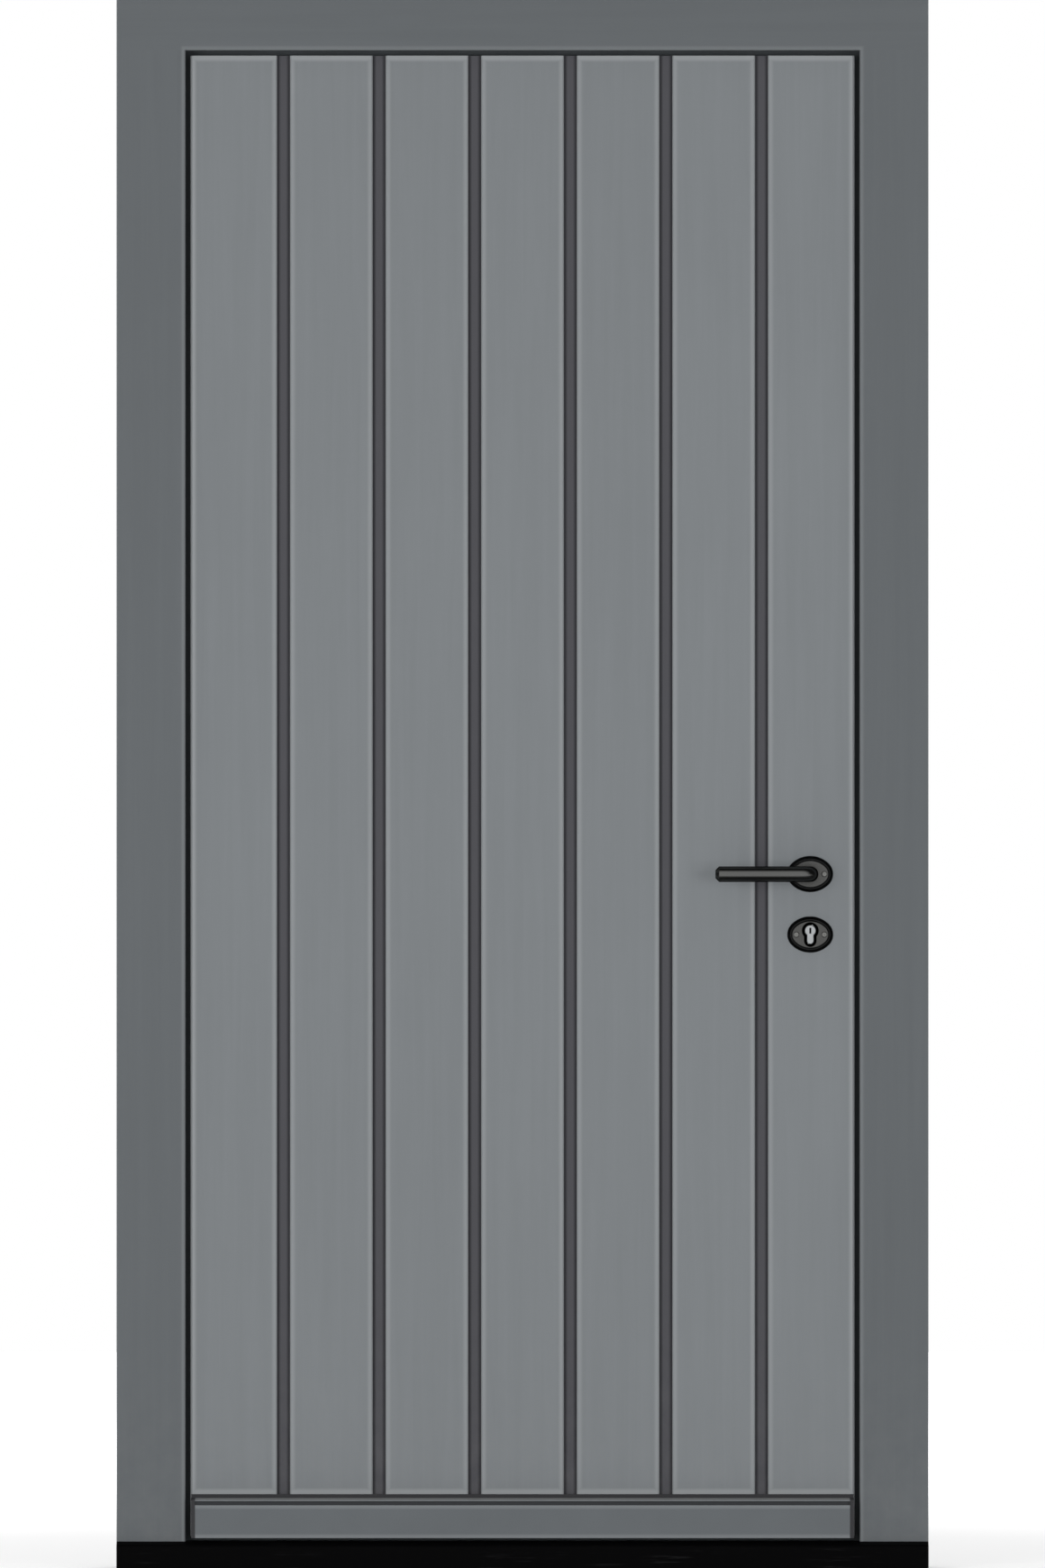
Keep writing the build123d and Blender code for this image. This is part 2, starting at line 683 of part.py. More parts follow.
def chamfer_rim(plate, face, size):
    """Chamfers the edges of a plate that lie in the given face."""
    return chamfer([e for e in plate.edges() if abs(e.center().Y - face) < size / 2], size)


def rose(height, face, outward, hole):
    """An oval rose on the leaf: a chamfered plate, a smaller oval on it, and a hole through both."""
    plate_face = face + outward * ROSE_PLATE
    boss_face = plate_face + outward * ROSE_BOSS
    wide = Pos(SPINDLE_X, height) * rose_oval()
    narrow = Pos(SPINDLE_X, height) * rose_oval(ROSE_STEP)
    plate = chamfer_rim(push_elevation(wide, face, plate_face), plate_face, ROSE_RIM)
    boss = chamfer_rim(push_elevation(narrow, plate_face, boss_face), boss_face, ROSE_BOSS_CHAMFER)
    return plate + boss - push_elevation(hole, face, boss_face)


def lever_rose(face, outward):
    neck_hole = Pos(SPINDLE_X, HANDLE_HEIGHT) * Circle(NECK_RADIUS + NECK_CLEARANCE)
    return rose(HANDLE_HEIGHT, face, outward, neck_hole)


def cylinder_rose(face, outward):
    """The rose round the key cylinder. The collar round its hole is a chamfer, limited by the wall there."""
    plate = rose(CYLINDER_Z, face, outward, cylinder_outline(LOCK_FIT))
    wall = (ROSE_HEIGHT - CYLINDER_HEIGHT) / 2 - LOCK_FIT - ROSE_STEP - ROSE_BOSS_CHAMFER
    collar = min(ROSE_COLLAR, wall - ROSE_COLLAR_LAND)
    boss_face = face + outward * (ROSE_PLATE + ROSE_BOSS)
    reach = (CYLINDER_HEIGHT + collar) / 2
    middle = Vector(SPINDLE_X, boss_face, CYLINDER_Z)
    face_edges = [e for e in plate.edges() if abs(e.center().Y - boss_face) < LOCK_FIT]
    return chamfer([e for e in face_edges if (e.center() - middle).length < reach], collar)


def lever(face, outward):
    """A straight round lever, bent into the shank that turns in its rose. outward is away from the leaf.

    It is made round its own spindle, from the leaf's face at 0, and then put in its place.
    """
    bend = LEVER_RADIUS + LEVER_BEND_INSIDE
    grip_y = outward * LEVER_PROJECTION
    bend_y = grip_y - outward * bend
    shoulder_y = outward * (ROSE_PLATE + ROSE_BOSS + NECK_SHOULDER_GAP)
    neck_end = outward * NECK_END_GAP
    across_grip = Plane.YZ * (Pos(grip_y, 0) * Circle(LEVER_RADIUS))
    grip = extrude(Pos(-LEVER_LENGTH, 0, 0) * across_grip, amount=LEVER_LENGTH - bend, dir=(1, 0, 0))
    tip_edges = [e for e in grip.edges() if e.center().X < LEVER_END_CHAMFER - LEVER_LENGTH]
    grip = chamfer(tip_edges, LEVER_END_CHAMFER)
    bend_axis = Axis((-bend, bend_y, 0), (0, 0, -outward))
    elbow = revolve(Pos(-bend, 0, 0) * across_grip, axis=bend_axis, revolution_arc=90)
    shank = push_elevation(Circle(LEVER_RADIUS), bend_y, shoulder_y)
    neck = push_elevation(Circle(NECK_RADIUS), shoulder_y, neck_end)
    socket_size = SPINDLE_SIZE + 2 * SPINDLE_CLEARANCE
    socket_end = neck_end + outward * (SPINDLE_ENTRY + SPINDLE_CLEARANCE)
    socket = push_elevation(Rectangle(socket_size, socket_size), neck_end, socket_end)
    return Pos(SPINDLE_X, face, HANDLE_HEIGHT) * (grip + elbow + shank + neck - socket)


def spindle():
    """The square bar that joins both levers through the lock."""
    front = LEAF_FRONT - NECK_END_GAP - SPINDLE_ENTRY
    back = LEAF_BACK + NECK_END_GAP + SPINDLE_ENTRY
    square = Pos(SPINDLE_X, HANDLE_HEIGHT) * Rectangle(SPINDLE_SIZE, SPINDLE_SIZE)
    return push_elevation(square, front, back)


def build_nodes():
    """Every piece of the door set by its name."""
    nodes = {
        "left_jamb": left_jamb(),
        "right_jamb": right_jamb(),
        "head": head(),
        "threshold": threshold(),
        "frame_seal": frame_seal(),
        "strike_plate": strike_plate(),
        "hinge_stile": hinge_stile(),
        "lock_stile": lock_stile(),
        "top_rail": top_rail(),
        "bottom_rail": bottom_rail(),
        "core_panel": core_panel(),
        "inner_boards": Compound(children=inner_boards()),
        "weather_bar": weather_bar(),
        "left_bar_cap": left_bar_cap(),
        "right_bar_cap": right_bar_cap(),
        "mortise_lock": mortise_lock(),
        "latch_bolt": latch_bolt(),
        "deadbolt": deadbolt(),
        "key_cylinder": key_cylinder(),
        "outer_lever_rose": lever_rose(LEAF_FRONT, -1),
        "inner_lever_rose": lever_rose(LEAF_BACK, 1),
        "outer_cylinder_rose": cylinder_rose(LEAF_FRONT, -1),
        "inner_cylinder_rose": cylinder_rose(LEAF_BACK, 1),
        "outer_lever": lever(LEAF_FRONT, -1),
        "inner_lever": lever(LEAF_BACK, 1),
        "spindle": spindle(),
    }
    for number, board in enumerate(outer_boards(), start=1):
        nodes[f"board_{number}"] = board
    for place, middle in HINGE_MIDDLES.items():
        nodes[f"{place}_hinge_frame_plate"] = frame_hinge_plate(middle)
        nodes[f"{place}_hinge_leaf_plate"] = leaf_hinge_plate(middle)
        nodes[f"{place}_hinge_pin"] = hinge_pin(middle)
    return nodes


if __name__ == "__main__":
    os.makedirs("parts", exist_ok=True)
    for name, shape in build_nodes().items():
        export_step(shape, f"parts/{name}.step")
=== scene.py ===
# %% [markdown]
# # A boarded entrance door
# The timber, hinges, lock and handles of this door already exist as solid pieces, true to size, in one
# imported model. This lesson dresses them. It sets up the camera and a plain studio, gives every surface a
# procedural finish, and adds thin rubber strips and small screws, which are too fine for the solid model.
#
# Loading comes first, because every later place and size is read from the solid pieces. The box of the
# bare model also gives the middle that the lamps face.

# %% Load the solid pieces
import json
import math

import bmesh
import bpy
from mathutils import Matrix, Vector


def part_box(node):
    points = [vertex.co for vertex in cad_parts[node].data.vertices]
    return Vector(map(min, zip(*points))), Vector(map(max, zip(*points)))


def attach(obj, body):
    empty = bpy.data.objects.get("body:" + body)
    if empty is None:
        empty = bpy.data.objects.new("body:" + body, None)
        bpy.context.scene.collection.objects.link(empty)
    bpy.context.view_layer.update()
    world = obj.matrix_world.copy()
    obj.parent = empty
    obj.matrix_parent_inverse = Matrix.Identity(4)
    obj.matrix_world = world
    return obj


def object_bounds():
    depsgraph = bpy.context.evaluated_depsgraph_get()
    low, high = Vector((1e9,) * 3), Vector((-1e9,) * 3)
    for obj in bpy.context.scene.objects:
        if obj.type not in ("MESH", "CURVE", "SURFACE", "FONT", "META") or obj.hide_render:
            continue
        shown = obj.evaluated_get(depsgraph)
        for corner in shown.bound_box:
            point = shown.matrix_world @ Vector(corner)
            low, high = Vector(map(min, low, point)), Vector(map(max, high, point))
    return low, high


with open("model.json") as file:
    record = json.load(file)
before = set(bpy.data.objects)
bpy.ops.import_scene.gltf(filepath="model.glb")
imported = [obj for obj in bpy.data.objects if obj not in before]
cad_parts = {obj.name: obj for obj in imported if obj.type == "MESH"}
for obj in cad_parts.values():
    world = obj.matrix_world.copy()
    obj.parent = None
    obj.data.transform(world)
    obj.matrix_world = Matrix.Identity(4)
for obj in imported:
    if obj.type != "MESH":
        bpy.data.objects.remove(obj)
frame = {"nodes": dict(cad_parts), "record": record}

MM = 0.001
nodes = frame["nodes"]
cad_low, cad_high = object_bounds()
print("solid pieces:", len(nodes), "box:", [round(v, 3) for v in cad_high - cad_low])

# %% [markdown]
# ## The camera
# The picture looks square on at the outside of the door, with no visible convergence, and the door fills
# its height from edge to edge. An orthographic camera would do that too, but it cannot be moved round the
# door for other views without being resized. A long lens, far away, looks almost the same and keeps working
# everywhere.

# %% Camera
SENSOR = 36.0
LENS = 400.0
TIGHT = 0.999

head_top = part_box("head")[1].z
outer_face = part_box("head")[0].y
camera_distance = TIGHT * head_top * LENS / SENSOR
camera_data = bpy.data.cameras.new("front_camera")
camera_data.lens = LENS
camera_data.sensor_width = SENSOR
camera = bpy.data.objects.new("front_camera", camera_data)
camera.location = (0.0, outer_face - camera_distance, head_top / 2)
camera.rotation_euler = (math.radians(90), 0.0, 0.0)
bpy.context.scene.collection.objects.link(camera)
bpy.context.scene.camera = camera
bpy.context.scene.view_settings.view_transform = "Standard"
print("camera", round(camera_distance, 2), "m in front of the frame")

# %% [markdown]
# ## A node shorthand
# Every finish below is a small graph of shader nodes. Writing each node and link by hand takes four lines,
# so these helpers add a node, join what goes in, and return what comes out. A plain number or colour is set
# on the socket and anything else is linked, which keeps the finishes readable.

# %% Node helpers
def feed(tree, socket, value):
    """Links an output to a socket, or sets a plain value on it."""
    if isinstance(value, bpy.types.NodeSocket):
        tree.links.new(value, socket)
    else:
        socket.default_value = value


def add_node(tree, kind, inputs=None, **settings):
    """A new node with its settings, and its inputs fed by name or by number."""
    node = tree.nodes.new(kind)
    for name, value in settings.items():
        setattr(node, name, value)
    for key, value in (inputs or {}).items():
        feed(tree, node.inputs[key], value)
    return node


def calculate(tree, operation, first, second=0.0, clamp=False):
    node = add_node(tree, "ShaderNodeMath", {0: first, 1: second}, operation=operation, use_clamp=clamp)
    return node.outputs[0]


def stretch(tree, vector, factors):
    node = add_node(tree, "ShaderNodeVectorMath", {0: vector, 1: factors}, operation="MULTIPLY")
    return node.outputs[0]


def noise(tree, vector, scale, detail=3.0, roughness=0.55, distortion=0.0):
    values = {"Vector": vector, "Scale": scale, "Detail": detail}
    values.update({"Roughness": roughness, "Distortion": distortion})
    return add_node(tree, "ShaderNodeTexNoise", values).outputs["Fac"]


def remap(tree, value, low, high, to_low=0.0, to_high=1.0, smooth=False):
    values = {"Value": value, "From Min": low, "From Max": high, "To Min": to_low, "To Max": to_high}
    curve = "SMOOTHSTEP" if smooth else "LINEAR"
    return add_node(tree, "ShaderNodeMapRange", values, interpolation_type=curve).outputs["Result"]


def blend(tree, factor, first, second, way="MIX"):
    node = add_node(tree, "ShaderNodeMix", data_type="RGBA", blend_type=way)
    feed(tree, node.inputs[0], factor)
    feed(tree, node.inputs[6], first)
    feed(tree, node.inputs[7], second)
    return node.outputs[2]


def tint(tree, colour, tone):
    """A colour made lighter or darker by a tone that is about 1."""
    grey = add_node(tree, "ShaderNodeCombineColor", {0: tone, 1: tone, 2: tone}).outputs[0]
    return blend(tree, 1.0, colour, grey, "MULTIPLY")


def start_group(name, inputs, outputs):
    """A node group with named sockets: inputs and outputs are pairs of a name and a kind of socket."""
    tree = bpy.data.node_groups.new(name, "ShaderNodeTree")
    for socket, kind in inputs:
        tree.interface.new_socket(socket, in_out="INPUT", socket_type="NodeSocket" + kind)
    for socket, kind in outputs:
        tree.interface.new_socket(socket, in_out="OUTPUT", socket_type="NodeSocket" + kind)
    return tree, tree.nodes.new("NodeGroupInput").outputs, tree.nodes.new("NodeGroupOutput").inputs


def use_group(tree, group, **inputs):
    """Places a group in a material and returns its outputs. An underscore in a name stands for a space."""
    values = {name.replace("_", " "): value for name, value in inputs.items()}
    return add_node(tree, "ShaderNodeGroup", values, node_tree=group).outputs


print("node helpers ready")

# %% [markdown]
# ## The studio
# The door stands alone on white. A world that is fully white only where the camera sees it gives that
# background without flooding the door with light: for lighting it is dimmer. In reflections it is bright in
# front and behind but dark to the sides and overhead, as a studio with two white screens is, each leaning
# back a little at the top. That gives round, glossy pieces a light middle and dark sides. Broad lamps
# in front and behind do the rest, set so that a paint renders about as dark as it is mixed.

# %% World
WHITE = (1.0, 1.0, 1.0, 1.0)
AMBIENT = 0.50
SIDE_REFLECTION = 0.02
SCREEN_REFLECTION = 0.90
SCREEN_TILT = -0.06
SCREEN_EDGE = 0.45
SCREEN_FULL = 0.85

world = bpy.data.worlds.new("white_studio")
bpy.context.scene.world = world
world.use_nodes = True
sky = world.node_tree
sky.nodes.clear()
rays = add_node(sky, "ShaderNodeLightPath").outputs
sky_place = add_node(sky, "ShaderNodeTexCoord").outputs["Generated"]
looking = add_node(sky, "ShaderNodeSeparateXYZ", {0: sky_place}).outputs
tilted = calculate(sky, "MULTIPLY", looking["Z"], SCREEN_TILT)
forward = calculate(sky, "ADD", calculate(sky, "ABSOLUTE", looking["Y"]), tilted)
screens = remap(sky, forward, SCREEN_EDGE, SCREEN_FULL, SIDE_REFLECTION, SCREEN_REFLECTION, smooth=True)
lighting = calculate(sky, "SUBTRACT", 1.0, rays["Is Glossy Ray"])
strength = calculate(sky, "MULTIPLY", screens, rays["Is Glossy Ray"])
strength = calculate(sky, "ADD", strength, calculate(sky, "MULTIPLY", lighting, AMBIENT))
seen = calculate(sky, "MAXIMUM", rays["Is Camera Ray"], rays["Is Transmission Ray"])
strength = calculate(sky, "MAXIMUM", strength, seen)
backdrop = add_node(sky, "ShaderNodeBackground", {"Color": WHITE, "Strength": strength})
add_node(sky, "ShaderNodeOutputWorld", {"Surface": backdrop.outputs[0]})
print("world: white to the camera,", AMBIENT, "for lighting")

# %% Lamps
LAMP_SIZE = 2.4
LAMPS = {
    "front_left": ((-2.6, -4.8, 1.2), 92),
    "front_right": ((2.8, -4.8, 0.7), 78),
    "back_left": ((-2.8, 4.8, 1.5), 84),
    "back_right": ((2.6, 4.8, 0.9), 74),
}


def soft_lamp(name, place, target, watts):
    """A square area lamp that faces the target and stays out of the picture and its reflections."""
    data = bpy.data.lights.new(name, "AREA")
    data.size = LAMP_SIZE
    data.energy = watts
    lamp = bpy.data.objects.new(name, data)
    lamp.location = place
    lamp.rotation_euler = (Vector(target) - Vector(place)).to_track_quat("-Z", "Y").to_euler()
    lamp.visible_camera = False
    lamp.visible_glossy = False
    bpy.context.scene.collection.objects.link(lamp)


door_middle = (cad_low + cad_high) / 2
for lamp_name, (lamp_place, watts) in LAMPS.items():
    soft_lamp(lamp_name, lamp_place, door_middle, watts)
print("lamps:", ", ".join(LAMPS))

# %% [markdown]
# ## The floor
# A pale floor carries the door's shadow. Its own paint is a little darker than the white world behind it,
# which would leave a horizon, so it also glows where the camera sees it: faintly near the door, so that the
# shadow stays, and fully far away, where the lamps no longer reach. Near the door it throws some light back
# up, as a well lit floor does, or the foot of the door would be too dark. In reflections it is dark near the
# door, or it would light the undersides of the glossy pieces, and further out it runs up into the screens.

# %% Floor
FLOOR_RADIUS = 9.0
FLOOR_WHITE = (0.84, 0.84, 0.84, 1.0)
FLOOR_REFLECTED = (0.08, 0.08, 0.08, 1.0)
NEAR_DOOR = 1.0
FAR_FLOOR = 3.0
FLOOR_GLOW = 0.40
FLOOR_BOUNCE = 0.20
SWEEP_START = 1.1
SWEEP_END = 2.1

floor_shape = bmesh.new()
bmesh.ops.create_circle(floor_shape, cap_ends=True, segments=96, radius=FLOOR_RADIUS)
floor_mesh = bpy.data.meshes.new("floor")
floor_shape.to_mesh(floor_mesh)
floor_shape.free()
floor = bpy.data.objects.new("floor", floor_mesh)
bpy.context.scene.collection.objects.link(floor)
floor_paint = bpy.data.materials.new("floor_white")
floor_paint.use_nodes = True
tree = floor_paint.node_tree
surface = tree.nodes["Principled BSDF"].inputs
surface["Roughness"].default_value = 0.9
surface["Specular IOR Level"].default_value = 0.1
surface["Emission Color"].default_value = WHITE
floor_rays = add_node(tree, "ShaderNodeLightPath").outputs
floor_tone = blend(tree, floor_rays["Is Glossy Ray"], FLOOR_WHITE, FLOOR_REFLECTED)
feed(tree, surface["Base Color"], floor_tone)
floor_place = add_node(tree, "ShaderNodeTexCoord").outputs["Object"]
away = add_node(tree, "ShaderNodeVectorMath", {0: floor_place}, operation="LENGTH").outputs["Value"]
glow = remap(tree, away, NEAR_DOOR, FAR_FLOOR, FLOOR_GLOW, 1.0, smooth=True)
glow = calculate(tree, "MULTIPLY", floor_rays["Is Camera Ray"], glow)
bounce = remap(tree, away, NEAR_DOOR, FAR_FLOOR, FLOOR_BOUNCE, 0.0, smooth=True)
bounce = calculate(tree, "MULTIPLY", floor_rays["Is Diffuse Ray"], bounce)
outward = add_node(tree, "ShaderNodeSeparateXYZ", {0: floor_place}).outputs["Y"]
outward = calculate(tree, "ABSOLUTE", outward)
sweep = remap(tree, outward, SWEEP_START, SWEEP_END, 0.0, SCREEN_REFLECTION, smooth=True)
sweep = calculate(tree, "MULTIPLY", floor_rays["Is Glossy Ray"], sweep)
glow = calculate(tree, "ADD", calculate(tree, "ADD", glow, bounce), sweep)
feed(tree, surface["Emission Strength"], glow)
floor_mesh.materials.append(floor_paint)
print("floor: a white disc", 2 * FLOOR_RADIUS, "m across")

# %% [markdown]
# ## Paint over timber
# Brushed paint never hides wood completely. The grain stands up a few hundredths of a millimetre, the film
# is a little thinner on the ridges, and the brush leaves fine lines along the board. All three are long
# streaks, so one group makes them from noise that is stretched along the grain. Every painted timber piece
# shares it, each with its own colour and its own direction of grain.

# %% Group: painted grain
NOISE_LOW = 0.3
NOISE_HIGH = 0.7
FIGURE_HEIGHT = 0.6
BRUSH_HEIGHT = 0.8
STREAK_TONE = 0.028
CLOUD_TONE = 0.018
SATIN_LOW = 0.40
SATIN_HIGH = 0.52


def spread(tree, value, low, high):
    """Spreads a noise, most of which lies near its middle, over the given range."""
    return remap(tree, value, NOISE_LOW, NOISE_HIGH, low, high)


def long_noise(tree, vector, along, scale, detail, roughness=0.55, distortion=0.0):
    """Noise in streaks along Z: the smaller the share along Z, the longer they are."""
    return noise(tree, stretch(tree, vector, (1.0, 1.0, along)), scale, detail, roughness, distortion)


painted_grain, given, out = start_group(
    "painted_grain",
    [("Vector", "Vector")],
    [("Tone", "Float"), ("Height", "Float"), ("Roughness", "Float")],
)
wood = given["Vector"]
figure = long_noise(painted_grain, wood, along=0.035, scale=70.0, detail=4.0, roughness=0.6, distortion=0.5)
pores = long_noise(painted_grain, wood, along=0.012, scale=520.0, detail=2.0)
brush = long_noise(painted_grain, wood, along=0.004, scale=260.0, detail=2.0)
patches = noise(painted_grain, wood, scale=3.2)
ridges = calculate(painted_grain, "ADD", calculate(painted_grain, "MULTIPLY", figure, FIGURE_HEIGHT), pores)
brushed_lines = calculate(painted_grain, "MULTIPLY", brush, BRUSH_HEIGHT)
feed(painted_grain, out["Height"], calculate(painted_grain, "ADD", ridges, brushed_lines))
streaks = spread(painted_grain, figure, -STREAK_TONE, STREAK_TONE)
clouds = spread(painted_grain, patches, 1.0 - CLOUD_TONE, 1.0 + CLOUD_TONE)
feed(painted_grain, out["Tone"], calculate(painted_grain, "ADD", streaks, clouds))
feed(painted_grain, out["Roughness"], spread(painted_grain, brush, SATIN_LOW, SATIN_HIGH))
print("group:", painted_grain.name)

# %% [markdown]
# ## Sunk joints between boards
# Seven boards stand side by side with a sunk joint between each pair. The joint is painted darker, as
# painted shade in the recess, with deeper painted shade in its two corners, and a painted highlight runs
# along the edges of the boards. The solid boards already have the joint's shape, so the masks only ask
# where a point lies: its depth behind the face is along Y, and its distance from the middle of the nearest
# joint is along X, where the joints repeat at every board.

# %% Group: board joints
BOARD_CHAMFER = 2.5 * MM
# Width of the painted highlight along edges, and the share of it at full strength.
EDGE_HIGHLIGHT_WIDTH = 7.0 * MM
HIGHLIGHT_FULL_SHARE = 0.3
JOINTED_BOARDS = 3.2  # counted from the middle board
SUNK_FROM = 1.3 * MM
SUNK_FULLY = 2.0 * MM
CORNER_FROM = 0.18  # shares of the gap
CORNER_FULL = 0.46

board_joints, given, out = start_group(
    "board_joints",
    [("Vector", "Vector"), ("Face", "Float"), ("Inward", "Float"), ("Step", "Float"), ("Gap", "Float")],
    [("Joint", "Float"), ("Edge", "Float"), ("Corner", "Float")],
)
parts = add_node(board_joints, "ShaderNodeSeparateXYZ", {0: given["Vector"]}).outputs
depth = calculate(board_joints, "SUBTRACT", parts["Y"], given["Face"])
depth = calculate(board_joints, "MULTIPLY", depth, given["Inward"])
boards_away = calculate(board_joints, "DIVIDE", parts["X"], given["Step"])
boards_out = calculate(board_joints, "ABSOLUTE", boards_away)
has_joint = calculate(board_joints, "LESS_THAN", boards_out, JOINTED_BOARDS)
# The joint mask: where the paint is darker, as painted shade in the recess.
sunk = remap(board_joints, depth, SUNK_FROM, SUNK_FULLY, smooth=True)
feed(board_joints, out["Joint"], calculate(board_joints, "MULTIPLY", sunk, has_joint))
from_middle = calculate(board_joints, "SUBTRACT", calculate(board_joints, "FRACT", boards_away), 0.5)
from_middle = calculate(board_joints, "ABSOLUTE", from_middle)
from_middle = calculate(board_joints, "MULTIPLY", from_middle, given["Step"])
across_joint = calculate(board_joints, "DIVIDE", from_middle, given["Gap"])
# Painted shade that deepens towards the joint's two corners.
corner = remap(board_joints, across_joint, CORNER_FROM, CORNER_FULL, smooth=True)
feed(board_joints, out["Corner"], corner)
# Painted highlight along the edges of the boards beside a joint.
half_gap = calculate(board_joints, "MULTIPLY", given["Gap"], 0.5)
from_wall = calculate(board_joints, "SUBTRACT", from_middle, half_gap)
thin_from = BOARD_CHAMFER + HIGHLIGHT_FULL_SHARE * EDGE_HIGHLIGHT_WIDTH
joint_highlight = remap(board_joints, from_wall, thin_from, BOARD_CHAMFER + EDGE_HIGHLIGHT_WIDTH, 1.0, 0.0, smooth=True)
feed(board_joints, out["Edge"], calculate(board_joints, "MULTIPLY", joint_highlight, has_joint))
print("group:", board_joints.name)

# %% [markdown]
# ## Edges of the leaf and of the opening
# The same painted highlight runs round the leaf, and round the opening of the frame that it closes. Both
# are upright rectangles, so one group measures how far a point lies past such a rectangle, and the sign of
# a reach says on which side of it the highlight lies. A foot far below the ground leaves the lower side out.

# %% Group: rim highlight
RIM_FADES_FROM = 0.4  # share of the reach

rim_highlight, given, out = start_group(
    "rim_highlight",
    [("Vector", "Vector"), ("Half Width", "Float"), ("Top", "Float"), ("Foot", "Float"), ("Reach", "Float")],
    [("Edge", "Float")],
)
parts = add_node(rim_highlight, "ShaderNodeSeparateXYZ", {0: given["Vector"]}).outputs
past_side = calculate(rim_highlight, "SUBTRACT", calculate(rim_highlight, "ABSOLUTE", parts["X"]), given["Half Width"])
past_top = calculate(rim_highlight, "SUBTRACT", parts["Z"], given["Top"])
past_foot = calculate(rim_highlight, "SUBTRACT", given["Foot"], parts["Z"])
past_rim = calculate(rim_highlight, "MAXIMUM", calculate(rim_highlight, "MAXIMUM", past_side, past_top), past_foot)
share = calculate(rim_highlight, "DIVIDE", past_rim, given["Reach"])
# Painted highlight that fades out away from the rim.
feed(rim_highlight, out["Edge"], remap(rim_highlight, share, RIM_FADES_FROM, 1.0, 1.0, 0.0, smooth=True))
print("group:", rim_highlight.name)

# %% [markdown]
# ## Dust from the ground
# Rain splashes dust up from the ground, so the foot of an outside door is a touch paler and duller than its
# middle. A mask that fades with height, broken up by noise, can be laid over any finish.

# %% Group: ground dust
FADE_POWER = 2.0
SPOTS_LOW = 0.35
SPOTS_HIGH = 0.75

ground_dust, given, out = start_group(
    "ground_dust",
    [("Vector", "Vector"), ("Reach", "Float")],
    [("Dust", "Float")],
)
up = add_node(ground_dust, "ShaderNodeSeparateXYZ", {0: given["Vector"]}).outputs["Z"]
share = calculate(ground_dust, "DIVIDE", up, given["Reach"])
fade = calculate(ground_dust, "SUBTRACT", 1.0, share, clamp=True)
fade = calculate(ground_dust, "POWER", fade, FADE_POWER)
spots = noise(ground_dust, given["Vector"], scale=34.0, detail=5.0, roughness=0.65)
spatter = remap(ground_dust, spots, SPOTS_LOW, SPOTS_HIGH)
feed(ground_dust, out["Dust"], calculate(ground_dust, "MULTIPLY", fade, spatter))
print("group:", ground_dust.name)

# %% [markdown]
# ## Fine speckle
# Powder coating, moulded plastic and rubber all have a fine, even skin without any direction. One group of
# two noises serves them all: the grain size is what tells them apart.

# %% Group: fine speckle
SPECKLE_TONE = 0.03
DRIFT_TONE = 0.04

fine_speckle, given, out = start_group(
    "fine_speckle",
    [("Vector", "Vector"), ("Scale", "Float")],
    [("Height", "Float"), ("Tone", "Float")],
)
grains = noise(fine_speckle, given["Vector"], given["Scale"], detail=2.0, roughness=0.6)
feed(fine_speckle, out["Height"], grains)
skin = spread(fine_speckle, grains, 1.0 - SPECKLE_TONE, 1.0 + SPECKLE_TONE)
drift = noise(fine_speckle, given["Vector"], scale=9.0)
drift = spread(fine_speckle, drift, -DRIFT_TONE, DRIFT_TONE)
feed(fine_speckle, out["Tone"], calculate(fine_speckle, "ADD", skin, drift))
print("group:", fine_speckle.name)

# %% [markdown]
# ## Brushed metal
# Hinges, lock plates and the cylinder are ground along their length. The lines are noise again, stretched
# far more than wood grain and much finer, and they drive gloss more than colour.

# %% Group: brushed metal
LINES_LOW = 0.25
LINES_HIGH = 0.75
DARK_LINE = 0.92
LIGHT_LINE = 1.06
LINE_ROUGHNESS = 0.10
SMUDGE_ROUGHNESS = 0.05

brushed_metal, given, out = start_group(
    "brushed_metal",
    [("Vector", "Vector"), ("Scale", "Float")],
    [("Tone", "Float"), ("Height", "Float"), ("Roughness", "Float")],
)
lines = long_noise(brushed_metal, given["Vector"], 0.02, given["Scale"], detail=3.0, roughness=0.7)
smudge = noise(brushed_metal, given["Vector"], scale=60.0)
feed(brushed_metal, out["Height"], lines)
line_tone = remap(brushed_metal, lines, LINES_LOW, LINES_HIGH, DARK_LINE, LIGHT_LINE)
feed(brushed_metal, out["Tone"], line_tone)
grind = spread(brushed_metal, lines, 0.0, LINE_ROUGHNESS)
haze = spread(brushed_metal, smudge, -SMUDGE_ROUGHNESS, SMUDGE_ROUGHNESS)
feed(brushed_metal, out["Roughness"], calculate(brushed_metal, "ADD", grind, haze))
print("group:", brushed_metal.name)

# %% [markdown]
# ## Paints for the timber
# The frame is a dark grey and the boards a lighter one, both in satin. The grain of a jamb and a board runs
# upright and that of the head and the rails runs across, so a Mapping node turns the pattern where needed.
# Each board also gets its own stretch of grain, chosen by its number, or the figure would run on through
# the joints.

# %% Paint materials
FRAME_GREY = (0.119, 0.130, 0.138, 1.0)
BOARD_GREY = (0.199, 0.214, 0.225, 1.0)
# Painted shade in the sunk joints, deeper in their corners.
JOINT_SHADE_GREY = (0.074, 0.074, 0.083, 1.0)
CORNER_SHADE_GREY = (0.040, 0.040, 0.046, 1.0)
# Painted highlight for edges.
EDGE_HIGHLIGHT_GREY = (0.300, 0.315, 0.325, 1.0)
DUST_GREY = (0.290, 0.288, 0.280, 1.0)
PAINT_GLOSS = 0.25
GRAIN_RELIEF = 0.22
GRAIN_HEIGHT = 0.25 * MM
